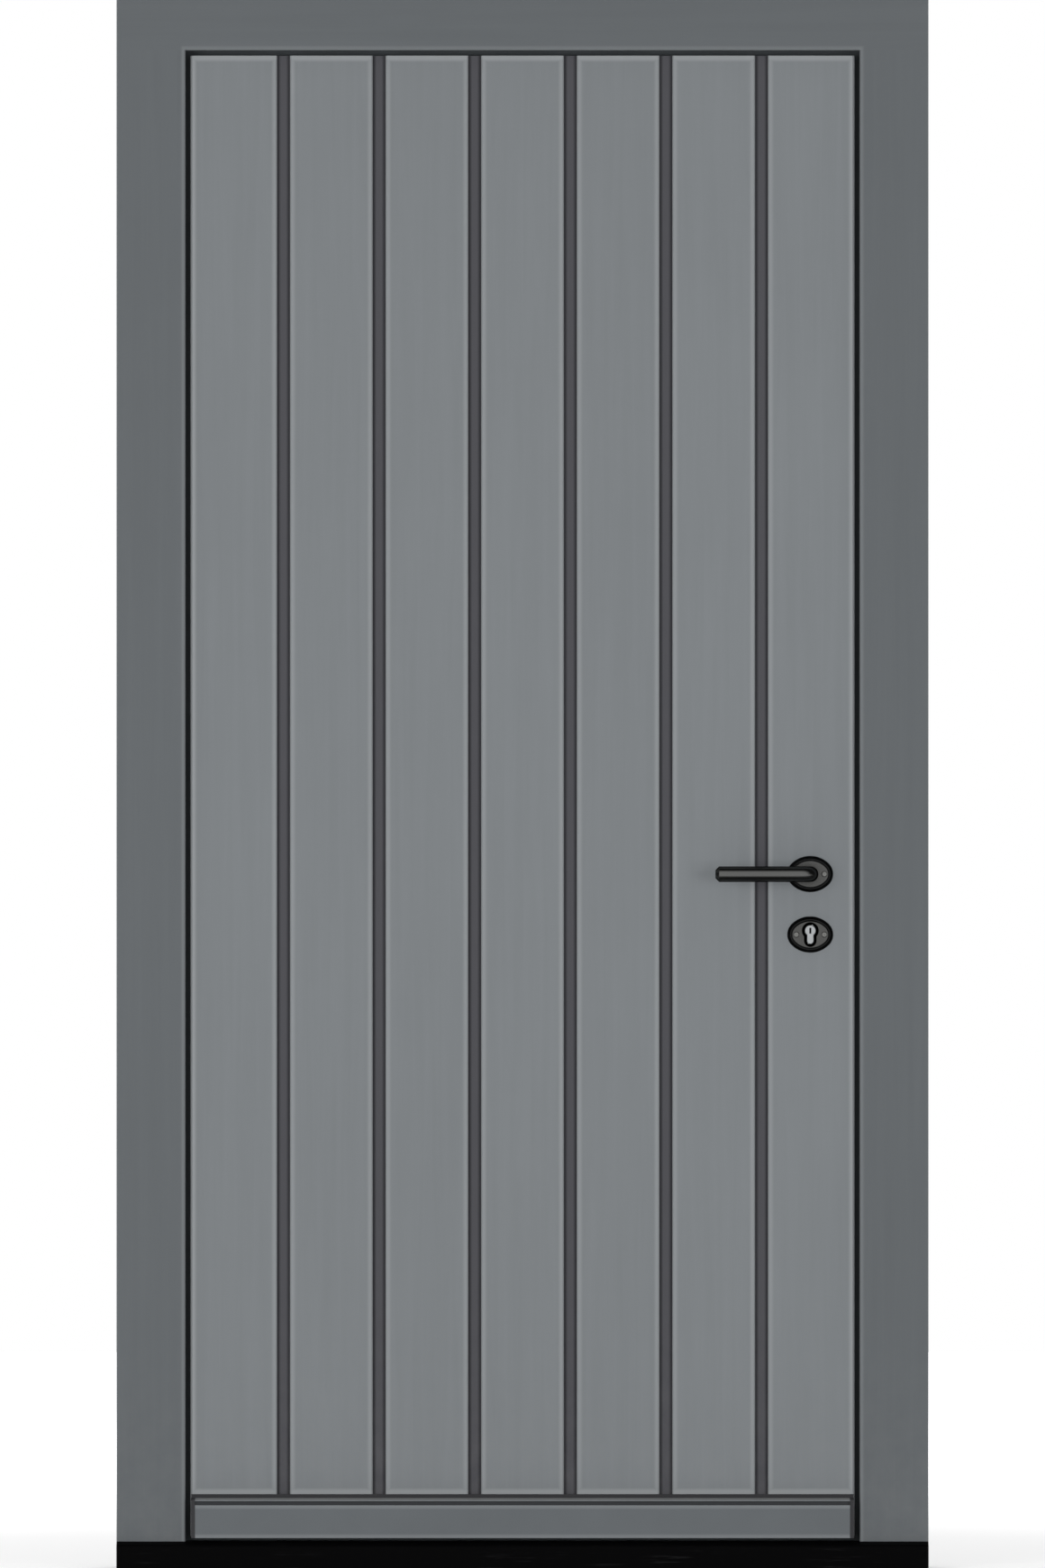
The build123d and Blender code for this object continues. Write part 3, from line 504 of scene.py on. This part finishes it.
# Share of the painted highlight round the opening.
FRAME_HIGHLIGHT_SHARE = 0.24
FRAME_DUST_SHARE = 0.16
FRAME_DUST_REACH = 0.5
DUST_DULLNESS = 0.2
OPENING_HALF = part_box("right_jamb")[0].x
OPENING_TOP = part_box("head")[0].z
NO_FOOT = -1.0


def new_material(name):
    """An empty material: its node tree, the inputs of its shader, and the place on the object."""
    material = bpy.data.materials.new(name)
    material.use_nodes = True
    tree = material.node_tree
    place = add_node(tree, "ShaderNodeTexCoord").outputs["Object"]
    return material, tree, tree.nodes["Principled BSDF"].inputs, place


def bump(tree, height, strength, distance):
    node = add_node(tree, "ShaderNodeBump", {"Height": height, "Strength": strength, "Distance": distance})
    return node.outputs["Normal"]


def turned(tree, place, turn):
    """The place, turned by Euler angles in degrees, so that grain along Z runs another way."""
    angles = [math.radians(angle) for angle in turn]
    return add_node(tree, "ShaderNodeMapping", {"Vector": place, "Rotation": angles}).outputs[0]


def paint_timber(name, colour, turn=None):
    """Satin paint over timber, with grain along Z or turned, a painted highlight round the opening, and dusty
    at the foot.
    """
    material, tree, surface, place = new_material(name)
    grain_place = turned(tree, place, turn) if turn else place
    grain = use_group(tree, painted_grain, Vector=grain_place)
    opening = {"Half_Width": OPENING_HALF, "Top": OPENING_TOP, "Foot": NO_FOOT, "Reach": EDGE_HIGHLIGHT_WIDTH}
    edge = use_group(tree, rim_highlight, Vector=place, **opening)["Edge"]
    dust = use_group(tree, ground_dust, Vector=place, Reach=FRAME_DUST_REACH)["Dust"]
    # Painted highlight round the opening of the frame.
    edge = calculate(tree, "MULTIPLY", edge, FRAME_HIGHLIGHT_SHARE)
    mixed = blend(tree, edge, tint(tree, colour, grain["Tone"]), EDGE_HIGHLIGHT_GREY)
    dusty = calculate(tree, "MULTIPLY", dust, FRAME_DUST_SHARE)
    feed(tree, surface["Base Color"], blend(tree, dusty, mixed, DUST_GREY))
    dull = calculate(tree, "MULTIPLY", dust, DUST_DULLNESS)
    feed(tree, surface["Roughness"], calculate(tree, "ADD", grain["Roughness"], dull))
    feed(tree, surface["Normal"], bump(tree, grain["Height"], GRAIN_RELIEF, GRAIN_HEIGHT))
    surface["Specular IOR Level"].default_value = PAINT_GLOSS
    return material


frame_paint = paint_timber("frame_paint", FRAME_GREY)
head_paint = paint_timber("head_paint", FRAME_GREY, (0, 90, 0))
print("paints:", frame_paint.name, head_paint.name)

# %% Board paint
board_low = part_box("board_1")[0]
BOARD_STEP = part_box("board_3")[0].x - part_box("board_2")[0].x
JOINT_GAP = 16 * MM
STRIP_ABOVE_BAR = 4.6 * MM
GRAIN_SHIFT = 2.7
BOARD_SPREAD = 0.015
# Shares of the painted highlight along the joints and round the leaf.
JOINT_HIGHLIGHT_SHARE = 0.6
BOARD_HIGHLIGHT_SHARE = 0.9
BOARD_DUST_SHARE = 0.14
BOARD_DUST_REACH = 0.6


def paint_boards(name, face, inward, leaf_high, foot):
    """The lighter satin paint of the boards, with painted shade in the joints and a painted highlight round
    their edges.
    """
    material, tree, surface, place = new_material(name)
    parts = add_node(tree, "ShaderNodeSeparateXYZ", {0: place}).outputs
    number = calculate(tree, "ROUND", calculate(tree, "DIVIDE", parts["X"], BOARD_STEP))
    chance = add_node(tree, "ShaderNodeTexWhiteNoise", {"W": number}, noise_dimensions="1D").outputs["Value"]
    along = calculate(tree, "MULTIPLY", number, GRAIN_SHIFT)
    shift = add_node(tree, "ShaderNodeCombineXYZ", {"Z": along}).outputs[0]
    own_place = add_node(tree, "ShaderNodeVectorMath", {0: place, 1: shift}, operation="ADD").outputs[0]
    grain = use_group(tree, painted_grain, Vector=own_place)
    joint = use_group(
        tree, board_joints, Vector=place, Face=face, Inward=inward, Step=BOARD_STEP, Gap=JOINT_GAP
    )
    reach = -BOARD_CHAMFER - EDGE_HIGHLIGHT_WIDTH
    leaf = {"Half_Width": leaf_high.x, "Top": leaf_high.z, "Foot": foot, "Reach": reach}
    painted_rim = use_group(tree, rim_highlight, Vector=place, **leaf)
    # Painted highlight along the joints and round the leaf, with a light line at its foot above the bar.
    joint_highlight = calculate(tree, "MULTIPLY", joint["Edge"], JOINT_HIGHLIGHT_SHARE)
    edge = calculate(tree, "MAXIMUM", joint_highlight, painted_rim["Edge"])
    own_tone = remap(tree, chance, 0.0, 1.0, 1.0 - BOARD_SPREAD, 1.0 + BOARD_SPREAD)
    colour = tint(tree, BOARD_GREY, calculate(tree, "MULTIPLY", grain["Tone"], own_tone))
    colour = blend(tree, calculate(tree, "MULTIPLY", edge, BOARD_HIGHLIGHT_SHARE), colour, EDGE_HIGHLIGHT_GREY)
    # Painted shade in the joint, deeper in its corners.
    joint_shade_colour = blend(tree, joint["Corner"], JOINT_SHADE_GREY, CORNER_SHADE_GREY)
    colour = blend(tree, joint["Joint"], colour, joint_shade_colour)
    dust = use_group(tree, ground_dust, Vector=place, Reach=BOARD_DUST_REACH)["Dust"]
    dusty = calculate(tree, "MULTIPLY", dust, BOARD_DUST_SHARE)
    feed(tree, surface["Base Color"], blend(tree, dusty, colour, DUST_GREY))
    feed(tree, surface["Roughness"], grain["Roughness"])
    feed(tree, surface["Normal"], bump(tree, grain["Height"], GRAIN_RELIEF, GRAIN_HEIGHT))
    surface["Specular IOR Level"].default_value = PAINT_GLOSS
    return material


lip_low, lip_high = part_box("inner_boards")
face_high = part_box("board_7")[1]
strip_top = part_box("weather_bar")[1].z + STRIP_ABOVE_BAR
outer_board_paint = paint_boards("outer_board_paint", board_low.y, 1.0, face_high, strip_top)
inner_board_paint = paint_boards("inner_board_paint", lip_high.y, -1.0, lip_high, lip_low.z)
print("boards are", round(BOARD_STEP / MM, 1), "mm apart")

# %% [markdown]
# ## Coated metal and plastic
# The weather bar is an aluminium bar in the frame's grey, powder coated, so it has a fine speckle instead
# of grain; its grey is a touch lighter than the frame's, as painted light for the dimmer light low on the
# door. The narrow groove under its nose is painted dark, as painted shade, dust lies on its sloped top, and
# the edges of its face carry a painted highlight. The threshold is a black composite, faintly scuffed by
# shoes, the caps on the bar are moulded plastic, and the seals are soft rubber: black in the frame, and grey
# on the leaf, to go with its paint.

# %% Coated materials
BLACK_PLASTIC = (0.0016, 0.0016, 0.0018, 1.0)
SCUFF_GREY = (0.022, 0.022, 0.023, 1.0)
SCRATCH_FROM = 0.60
SCRATCH_FULL = 0.80
SCUFF_FROM = 0.45
SCUFF_FULL = 0.70
# Painted shade in the groove under the bar's nose.
GROOVE_SHADE = (0.040, 0.043, 0.047, 1.0)
# A touch lighter than the frame's grey: painted light for the dimmer light low on the door.
BAR_GREY_LIGHTENED = (0.129, 0.141, 0.150, 1.0)
bar_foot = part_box("weather_bar")[0].z
bar_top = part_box("weather_bar")[1].z
GROOVE_LOW = bar_top - 9.5 * MM
GROOVE_HIGH = bar_top - 4.0 * MM
SLOPE_LOW = bar_top - 2.4 * MM
GROOVE_SLACK = 0.1 * MM
SLOPE_DUST_SHARE = 0.45
# Painted highlight along the foot and the top of the bar's face.
HIGHLIGHT_BAND = 3.0 * MM
BAR_HIGHLIGHT_SHARE = 0.32
COAT_HEIGHT = 0.12 * MM
COAT_UNEVEN = 0.06
TONE_LOW = 0.9
TONE_HIGH = 1.1
BLACK_RUBBER = (0.042, 0.042, 0.045, 1.0)
GREY_RUBBER = (0.115, 0.128, 0.137, 1.0)


def coat(name, colour, scale, roughness, gloss_level, relief):
    """A coating or moulding with an even, fine skin."""
    material, tree, surface, place = new_material(name)
    skin = use_group(tree, fine_speckle, Vector=place, Scale=scale)
    feed(tree, surface["Base Color"], tint(tree, colour, skin["Tone"]))
    smooth, rough = roughness - COAT_UNEVEN, roughness + COAT_UNEVEN
    feed(tree, surface["Roughness"], remap(tree, skin["Tone"], TONE_LOW, TONE_HIGH, smooth, rough))
    feed(tree, surface["Normal"], bump(tree, skin["Height"], relief, COAT_HEIGHT))
    surface["Specular IOR Level"].default_value = gloss_level
    return material, tree, surface, place


def lay_over(tree, surface, mask, colour):
    """Lays another colour over a finished one, where the mask is 1."""
    below = surface["Base Color"].links[0].from_socket
    feed(tree, surface["Base Color"], blend(tree, mask, below, colour))


bar_paint, tree, surface, place = coat(
    "bar_paint", BAR_GREY_LIGHTENED, scale=700.0, roughness=0.46, gloss_level=0.25, relief=0.25
)
up = add_node(tree, "ShaderNodeSeparateXYZ", {0: place}).outputs["Z"]
above_low = calculate(tree, "GREATER_THAN", up, GROOVE_LOW - GROOVE_SLACK)
below_high = calculate(tree, "LESS_THAN", up, GROOVE_HIGH + GROOVE_SLACK)
on_slope = calculate(tree, "GREATER_THAN", up, SLOPE_LOW)
# Painted highlights on the edges of the bar's face, dust on the slope, and painted shade in the groove.
lower_highlight = remap(tree, up, bar_foot + HIGHLIGHT_BAND, bar_foot + 2 * HIGHLIGHT_BAND, BAR_HIGHLIGHT_SHARE, 0.0)
upper_highlight = remap(tree, up, GROOVE_LOW - 2 * HIGHLIGHT_BAND, GROOVE_LOW - HIGHLIGHT_BAND, 0.0, BAR_HIGHLIGHT_SHARE)
lay_over(tree, surface, calculate(tree, "MAXIMUM", lower_highlight, upper_highlight), EDGE_HIGHLIGHT_GREY)
lay_over(tree, surface, calculate(tree, "MULTIPLY", on_slope, SLOPE_DUST_SHARE), DUST_GREY)
lay_over(tree, surface, calculate(tree, "MULTIPLY", above_low, below_high), GROOVE_SHADE)

cap_black = coat("cap_black", BLACK_RUBBER, scale=1000.0, roughness=0.55, gloss_level=0.20, relief=0.30)[0]
RUBBER_SKIN = {"scale": 1400.0, "roughness": 0.75, "gloss_level": 0.20, "relief": 0.35}
seal_rubber = coat("seal_rubber", BLACK_RUBBER, **RUBBER_SKIN)[0]
grey_rubber = coat("grey_rubber", GREY_RUBBER, **RUBBER_SKIN)[0]

threshold_black, tree, surface, place = coat(
    "threshold_black", BLACK_PLASTIC, scale=900.0, roughness=0.55, gloss_level=0.05, relief=0.30
)
along_sill = stretch(tree, place, (0.03, 1.0, 1.0))
scratches = remap(tree, noise(tree, along_sill, scale=420.0, roughness=0.7), SCRATCH_FROM, SCRATCH_FULL)
scuffed = remap(tree, noise(tree, place, scale=7.0), SCUFF_FROM, SCUFF_FULL)
lay_over(tree, surface, calculate(tree, "MULTIPLY", scratches, scuffed), SCUFF_GREY)
print("coatings:", bar_paint.name, seal_rubber.name, grey_rubber.name, threshold_black.name)

# %% [markdown]
# ## Metals
# The handles are satin black on cast metal. A dark base colour on a metal reflects the studio weakly and
# evenly, which leaves a grey sheen along the middle of the round lever. Its edge tint is darker still, so
# the sides of the bar fall off to black, as satin coatings do. The cylinder is nickel, and the steel of the
# hinges and the lock is brushed along its length. The roses get a finish of their own: a slightly darker
# black, with painted shade on the rim below the raised middle.

# %% Metal materials
HANDLE_BLACK = (0.140, 0.140, 0.137, 1.0)
ROSE_BLACK = (0.105, 0.105, 0.102, 1.0)
# Painted shade for the rim of a rose, below its raised middle.
RIM_SHADE_BLACK = (0.028, 0.028, 0.028, 1.0)
HANDLE_EDGE = (0.0, 0.0, 0.0, 1.0)
SCREW_GREY = (0.26, 0.26, 0.25, 1.0)
NICKEL = (0.52, 0.54, 0.55, 1.0)
ZINC = (0.36, 0.37, 0.38, 1.0)
STEEL = (0.46, 0.47, 0.48, 1.0)
SATIN_SKIN = 1600.0
SATIN_UNEVEN = 0.05
METAL_RELIEF = 0.10
SATIN_HEIGHT = 0.05 * MM
GRIND_HEIGHT = 0.04 * MM


def satin_black(name, colour, roughness):
    """Satin black coating on metal, with a faint skin and a dark edge."""
    material, tree, surface, place = new_material(name)
    skin = use_group(tree, fine_speckle, Vector=place, Scale=SATIN_SKIN)
    feed(tree, surface["Base Color"], tint(tree, colour, skin["Tone"]))
    smooth, rough = roughness - SATIN_UNEVEN, roughness + SATIN_UNEVEN
    feed(tree, surface["Roughness"], remap(tree, skin["Tone"], TONE_LOW, TONE_HIGH, smooth, rough))
    feed(tree, surface["Normal"], bump(tree, skin["Height"], METAL_RELIEF, SATIN_HEIGHT))
    surface["Metallic"].default_value = 1.0
    surface["Specular Tint"].default_value = HANDLE_EDGE
    return material, tree, surface, place


def brushed(name, colour, scale, roughness):
    """Metal that is ground along Z."""
    material, tree, surface, place = new_material(name)
    metal = use_group(tree, brushed_metal, Vector=place, Scale=scale)
    feed(tree, surface["Base Color"], tint(tree, colour, metal["Tone"]))
    feed(tree, surface["Roughness"], calculate(tree, "ADD", metal["Roughness"], roughness, clamp=True))
    feed(tree, surface["Normal"], bump(tree, metal["Height"], METAL_RELIEF, GRIND_HEIGHT))
    surface["Metallic"].default_value = 1.0
    return material


handle_black = satin_black("handle_black", HANDLE_BLACK, roughness=0.25)[0]
screw_steel = brushed("screw_steel", SCREW_GREY, scale=1500.0, roughness=0.30)
hinge_steel = brushed("hinge_steel", ZINC, scale=900.0, roughness=0.42)
lock_steel = brushed("lock_steel", STEEL, scale=1200.0, roughness=0.32)
print("metals:", handle_black.name, screw_steel.name, hinge_steel.name, lock_steel.name)

# %% Rose black, with painted shade on its rim
RIM_FROM = 0.4 * MM
RIM_FULLY = 2.2 * MM

rose_black, tree, surface, place = satin_black("rose_black", ROSE_BLACK, roughness=0.28)
leaf_middle = (board_low.y + lip_high.y) / 2
from_leaf_middle = add_node(tree, "ShaderNodeSeparateXYZ", {0: place}).outputs["Y"]
from_leaf_middle = calculate(tree, "ABSOLUTE", calculate(tree, "SUBTRACT", from_leaf_middle, leaf_middle))
rose_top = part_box("inner_lever_rose")[1].y - leaf_middle
# Painted shade: darker on the rim, a couple of millimetres and more below the rose's top.
painted_rim = remap(tree, from_leaf_middle, rose_top - RIM_FULLY, rose_top - RIM_FROM, 1.0, 0.0)
lay_over(tree, surface, painted_rim, RIM_SHADE_BLACK)
print("roses:", rose_black.name)

# %% Cylinder nickel, with painted shade inside the keyway
KEYWAY_SHADE = (0.012, 0.012, 0.013, 1.0)
DARK_FROM = 0.8 * MM
DARK_FULLY = 1.4 * MM

cylinder_nickel = brushed("cylinder_nickel", NICKEL, scale=1500.0, roughness=0.30)
cylinder_low, cylinder_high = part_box("key_cylinder")
tree = cylinder_nickel.node_tree
surface = tree.nodes["Principled BSDF"].inputs
place = add_node(tree, "ShaderNodeTexCoord").outputs["Object"]
across = add_node(tree, "ShaderNodeSeparateXYZ", {0: place}).outputs["Y"]
# Painted shade on all but the two end faces of the cylinder, which shows inside the keyway.
behind_front = remap(tree, across, cylinder_low.y + DARK_FROM, cylinder_low.y + DARK_FULLY)
behind_back = remap(tree, across, cylinder_high.y - DARK_FULLY, cylinder_high.y - DARK_FROM, 1.0, 0.0)
lay_over(tree, surface, calculate(tree, "MULTIPLY", behind_front, behind_back), KEYWAY_SHADE)
print("cylinder:", cylinder_nickel.name, round(cylinder_high.y - cylinder_low.y, 3), "m long")

# %% Bare core material
FOAM_CREAM = (0.62, 0.60, 0.52, 1.0)

core_foam = coat("core_foam", FOAM_CREAM, scale=500.0, roughness=0.85, gloss_level=0.2, relief=0.5)[0]
print("core:", core_foam.name)

# %% [markdown]
# ## Dressing the solid pieces
# Each piece carries the finish of its slot in the record. Some slots split further: grain follows the
# length of the piece, so the head and the rails take the turned paint, the inner boards need a joint mask
# that is measured from the inside, and the roses have painted shade on their rim.

# %% Put the finishes on the pieces
finish_of_slot = {
    "frame_paint": frame_paint,
    "bar_paint": bar_paint,
    "board_paint": outer_board_paint,
    "edge_paint": frame_paint,
    "core_foam": core_foam,
    "threshold_black": threshold_black,
    "cap_black": cap_black,
    "seal_rubber": seal_rubber,
    "hinge_steel": hinge_steel,
    "lock_steel": lock_steel,
    "cylinder_nickel": cylinder_nickel,
    "handle_black": handle_black,
}
finish_of_piece = {
    "head": head_paint,
    "top_rail": head_paint,
    "bottom_rail": head_paint,
    "inner_boards": inner_board_paint,
    "outer_lever_rose": rose_black,
    "inner_lever_rose": rose_black,
    "outer_cylinder_rose": rose_black,
    "inner_cylinder_rose": rose_black,
}
for entry in frame["record"]["subparts"]:
    name = entry["node"]
    finish = finish_of_piece.get(name, finish_of_slot[entry["material_slot"]])
    nodes[name].material_slots[0].material = finish

# %% [markdown]
# ## The strip above the weather bar
# A thin rubber strip closes the joint between the weather bar and the boards, so that rain cannot run in
# behind the bar. It stands a few millimetres above the bar and shows as a dark line. A stretched cube with
# a rounded front edge is enough.

# %% Bar strip
STRIP_HEIGHT = 6.0 * MM
STRIP_DEPTH = 2.5 * MM
STRIP_ROUNDING = 0.8 * MM
TOUCHING = 0.1 * MM


def finish_piece(shape, name, body, material):
    """Turns a finished shape into a piece that rides a body and takes a material."""
    mesh = bpy.data.meshes.new(name)
    shape.to_mesh(mesh)
    shape.free()
    mesh.materials.append(material)
    piece = bpy.data.objects.new(name, mesh)
    bpy.context.scene.collection.objects.link(piece)
    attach(piece, body)
    return piece


def add_box(shape, low, high):
    """Adds a box between two corners to a shape."""
    low, high = Vector(low), Vector(high)
    made = bmesh.ops.create_cube(shape, size=1.0)["verts"]
    bmesh.ops.scale(shape, vec=high - low, verts=made)
    bmesh.ops.translate(shape, vec=(low + high) / 2, verts=made)


def round_edges(shape, edges, radius):
    bmesh.ops.bevel(shape, geom=edges, offset=radius, segments=3, profile=0.5, affect="EDGES", material=-1)


bar_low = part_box("left_bar_cap")[0]
bar_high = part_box("right_bar_cap")[1]
strip_front = board_low.y - STRIP_DEPTH
strip = bmesh.new()
add_box(strip, (bar_low.x, strip_front, strip_top - STRIP_HEIGHT), (bar_high.x, board_low.y, strip_top))
corner = Vector((strip_front, strip_top))
front_edge = [e for e in strip.edges if all((v.co.yz - corner).length < TOUCHING for v in e.verts)]
round_edges(strip, front_edge, STRIP_ROUNDING)
finish_piece(strip, "bar_strip", "leaf", seal_rubber)
print("strip along", round(bar_high.x - bar_low.x, 3), "m of the bar")

# %% [markdown]
# ## The seal on the leaf
# A second, flat strip of rubber is glued to the lip of the leaf, facing the seal in the frame. Through the
# narrow gap round the closed leaf it is the only thing to be seen, and so little light falls that far in
# that even grey rubber looks almost black. Four thin boxes make the ring, with their edges rounded.

# %% Leaf seal
LIP_BEHIND_SEAL = 5.0 * MM
SEAL_MARGIN = 1.5 * MM
SEAL_THICKNESS = 1.2 * MM
SEAL_ROUNDING = 0.3 * MM

lip_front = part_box("frame_seal")[1].y + LIP_BEHIND_SEAL
seal_front = lip_front - SEAL_THICKNESS
outer_x = lip_high.x - SEAL_MARGIN
inner_x = face_high.x + SEAL_MARGIN
low_z = lip_low.z + SEAL_MARGIN
high_z = lip_high.z - SEAL_MARGIN
leaf_seal = bmesh.new()
add_box(leaf_seal, (-outer_x, seal_front, low_z), (-inner_x, lip_front, high_z))
add_box(leaf_seal, (inner_x, seal_front, low_z), (outer_x, lip_front, high_z))
add_box(leaf_seal, (-inner_x, seal_front, low_z), (inner_x, lip_front, board_low.z - SEAL_MARGIN))
add_box(leaf_seal, (-inner_x, seal_front, face_high.z + SEAL_MARGIN), (inner_x, lip_front, high_z))
round_edges(leaf_seal, leaf_seal.edges[:], SEAL_ROUNDING)
finish_piece(leaf_seal, "leaf_seal", "leaf", grey_rubber)
print("leaf seal:", round(2 * outer_x, 3), "by", round(high_z - low_z, 3), "m")

# %% [markdown]
# ## Screw heads
# Low, round heads with a cross recess hold the roses, the hinges and the lock plates. They are far too
# small for the solid model, but without them the plates look glued on. One head is made once: the middle
# row and column of a small grid are pressed down to form the cross, and the edge of the grid is drawn out
# to a circle and down, ring by ring, to make the rim. Copies of it are then set on each plate, every cross
# turned a little differently, as a hand leaves them.

# %% One screw head
CROSS_PLATE = 0.48  # share of the head's radius
CROSS_MIDDLE = 0.1  # share of the plate
CROSS_DEPTH = 0.7  # share of the head's height
RIM_RINGS = ((0.76, 0.06), (0.92, 0.22), (1.0, 0.32), (1.0, 0.40))  # shares of radius and height


def new_verts(result):
    return [item for item in result["geom"] if isinstance(item, bmesh.types.BMVert)]


def draw_out(shape, edges, radius, lower):
    """Extrudes a ring of edges out to a circle and down, and returns the new ring."""
    result = bmesh.ops.extrude_edge_only(shape, edges=edges)
    for vert in new_verts(result):
        vert.co.xy = vert.co.xy.normalized() * radius
        vert.co.z -= lower
    return [item for item in result["geom"] if isinstance(item, bmesh.types.BMEdge)]


def screw_head(radius, height):
    """A screw head that stands on the XY plane, with its top at the given height."""
    shape = bmesh.new()
    plate = CROSS_PLATE * radius
    arm = CROSS_MIDDLE * plate
    bmesh.ops.create_grid(shape, x_segments=5, y_segments=5, size=plate)
    cross = [face for face in shape.faces if min(abs(c) for c in face.calc_center_median().xy) < arm]
    sunk = bmesh.ops.extrude_face_region(shape, geom=cross)
    bmesh.ops.translate(shape, vec=(0.0, 0.0, -CROSS_DEPTH * height), verts=new_verts(sunk))
    bmesh.ops.delete(shape, geom=cross, context="FACES")
    ring = [edge for edge in shape.edges if edge.is_boundary]
    for reach, drop in RIM_RINGS:
        ring = draw_out(shape, ring, reach * radius, drop * height)
    bmesh.ops.translate(shape, vec=(0.0, 0.0, height), verts=shape.verts)
    bmesh.ops.recalc_face_normals(shape, faces=shape.faces)
    mesh = bpy.data.meshes.new("screw_head")
    shape.to_mesh(mesh)
    shape.free()
    return mesh


rose_head = screw_head(radius=4.0 * MM, height=1.8 * MM)
plate_head = screw_head(radius=4.2 * MM, height=1.2 * MM)
print("a screw head has", len(rose_head.polygons), "faces")

# %% Set the heads on their plates
TURN_STEP = 37.0
SCREW_SPREAD = 19 * MM


def set_heads(name, head, places, outward, body, material):
    """One piece: a copy of the head at each place, facing outward."""
    facing = Vector((0.0, 0.0, 1.0)).rotation_difference(Vector(outward)).to_matrix().to_4x4()
    shape = bmesh.new()
    for number, place in enumerate(places):
        before = len(shape.verts)
        shape.from_mesh(head)
        shape.verts.ensure_lookup_table()
        turn = Matrix.Rotation(math.radians(TURN_STEP * number), 4, "Z")
        placed = Matrix.Translation(place) @ facing @ turn
        bmesh.ops.transform(shape, matrix=placed, verts=shape.verts[before:])
    finish_piece(shape, name, body, material)


rose_places = []
for rose in ("outer_lever_rose", "outer_cylinder_rose"):
    low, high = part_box(rose)
    middle = (low + high) / 2
    rose_places += [Vector((middle.x + side * SCREW_SPREAD, 0.0, middle.z)) for side in (-1, 1)]
outer_rose_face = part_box("outer_lever_rose")[0].y
inner_rose_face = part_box("inner_lever_rose")[1].y
outer_places = [place + Vector((0.0, outer_rose_face, 0.0)) for place in rose_places]
inner_places = [place + Vector((0.0, inner_rose_face, 0.0)) for place in rose_places]
set_heads("outer_rose_screws", rose_head, outer_places, (0, -1, 0), "leaf", screw_steel)
set_heads("inner_rose_screws", rose_head, inner_places, (0, 1, 0), "leaf", screw_steel)
print("rose screws:", len(outer_places) + len(inner_places))

# %% Hinge screws
HINGE_SCREW_INSET = 11 * MM
HINGE_SCREW_HEIGHTS = (-46 * MM, -16 * MM, 16 * MM, 46 * MM)
PLATE_THICKNESS = 4 * MM

plate_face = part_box("head")[1].y + PLATE_THICKNESS


def hinge_places(plate, side):
    """Four places in a column, inset from the plate's far edge: its low X side or its high X side."""
    low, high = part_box(plate)
    column = low.x + HINGE_SCREW_INSET if side < 0 else high.x - HINGE_SCREW_INSET
    middle = (low.z + high.z) / 2
    return [Vector((column, plate_face, middle + height)) for height in HINGE_SCREW_HEIGHTS]


frame_places = []
leaf_places = []
for level in ("lower", "middle", "upper"):
    frame_places += hinge_places(level + "_hinge_frame_plate", -1)
    leaf_places += hinge_places(level + "_hinge_leaf_plate", 1)
set_heads("frame_hinge_screws", plate_head, frame_places, (0, 1, 0), "frame", hinge_steel)
set_heads("leaf_hinge_screws", plate_head, leaf_places, (0, 1, 0), "leaf", hinge_steel)
print("hinge screws:", len(frame_places) + len(leaf_places))

# %% Lock and strike screws
LOCK_SCREW_INSET = 11 * MM

latch_low, latch_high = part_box("latch_bolt")
lock_y = (latch_low.y + latch_high.y) / 2


def end_places(node, side):
    """Two places on a plate that faces along X, one near each end."""
    low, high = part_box(node)
    face = high.x if side > 0 else low.x
    heights = (low.z + LOCK_SCREW_INSET, high.z - LOCK_SCREW_INSET)
    return [Vector((face, lock_y, height)) for height in heights]


lock_places = end_places("mortise_lock", 1)
strike_places = end_places("strike_plate", -1)
set_heads("lock_screws", plate_head, lock_places, (1, 0, 0), "leaf", lock_steel)
set_heads("strike_screws", plate_head, strike_places, (-1, 0, 0), "frame", lock_steel)
print("lock screws at", [round(place.z, 3) for place in lock_places + strike_places])
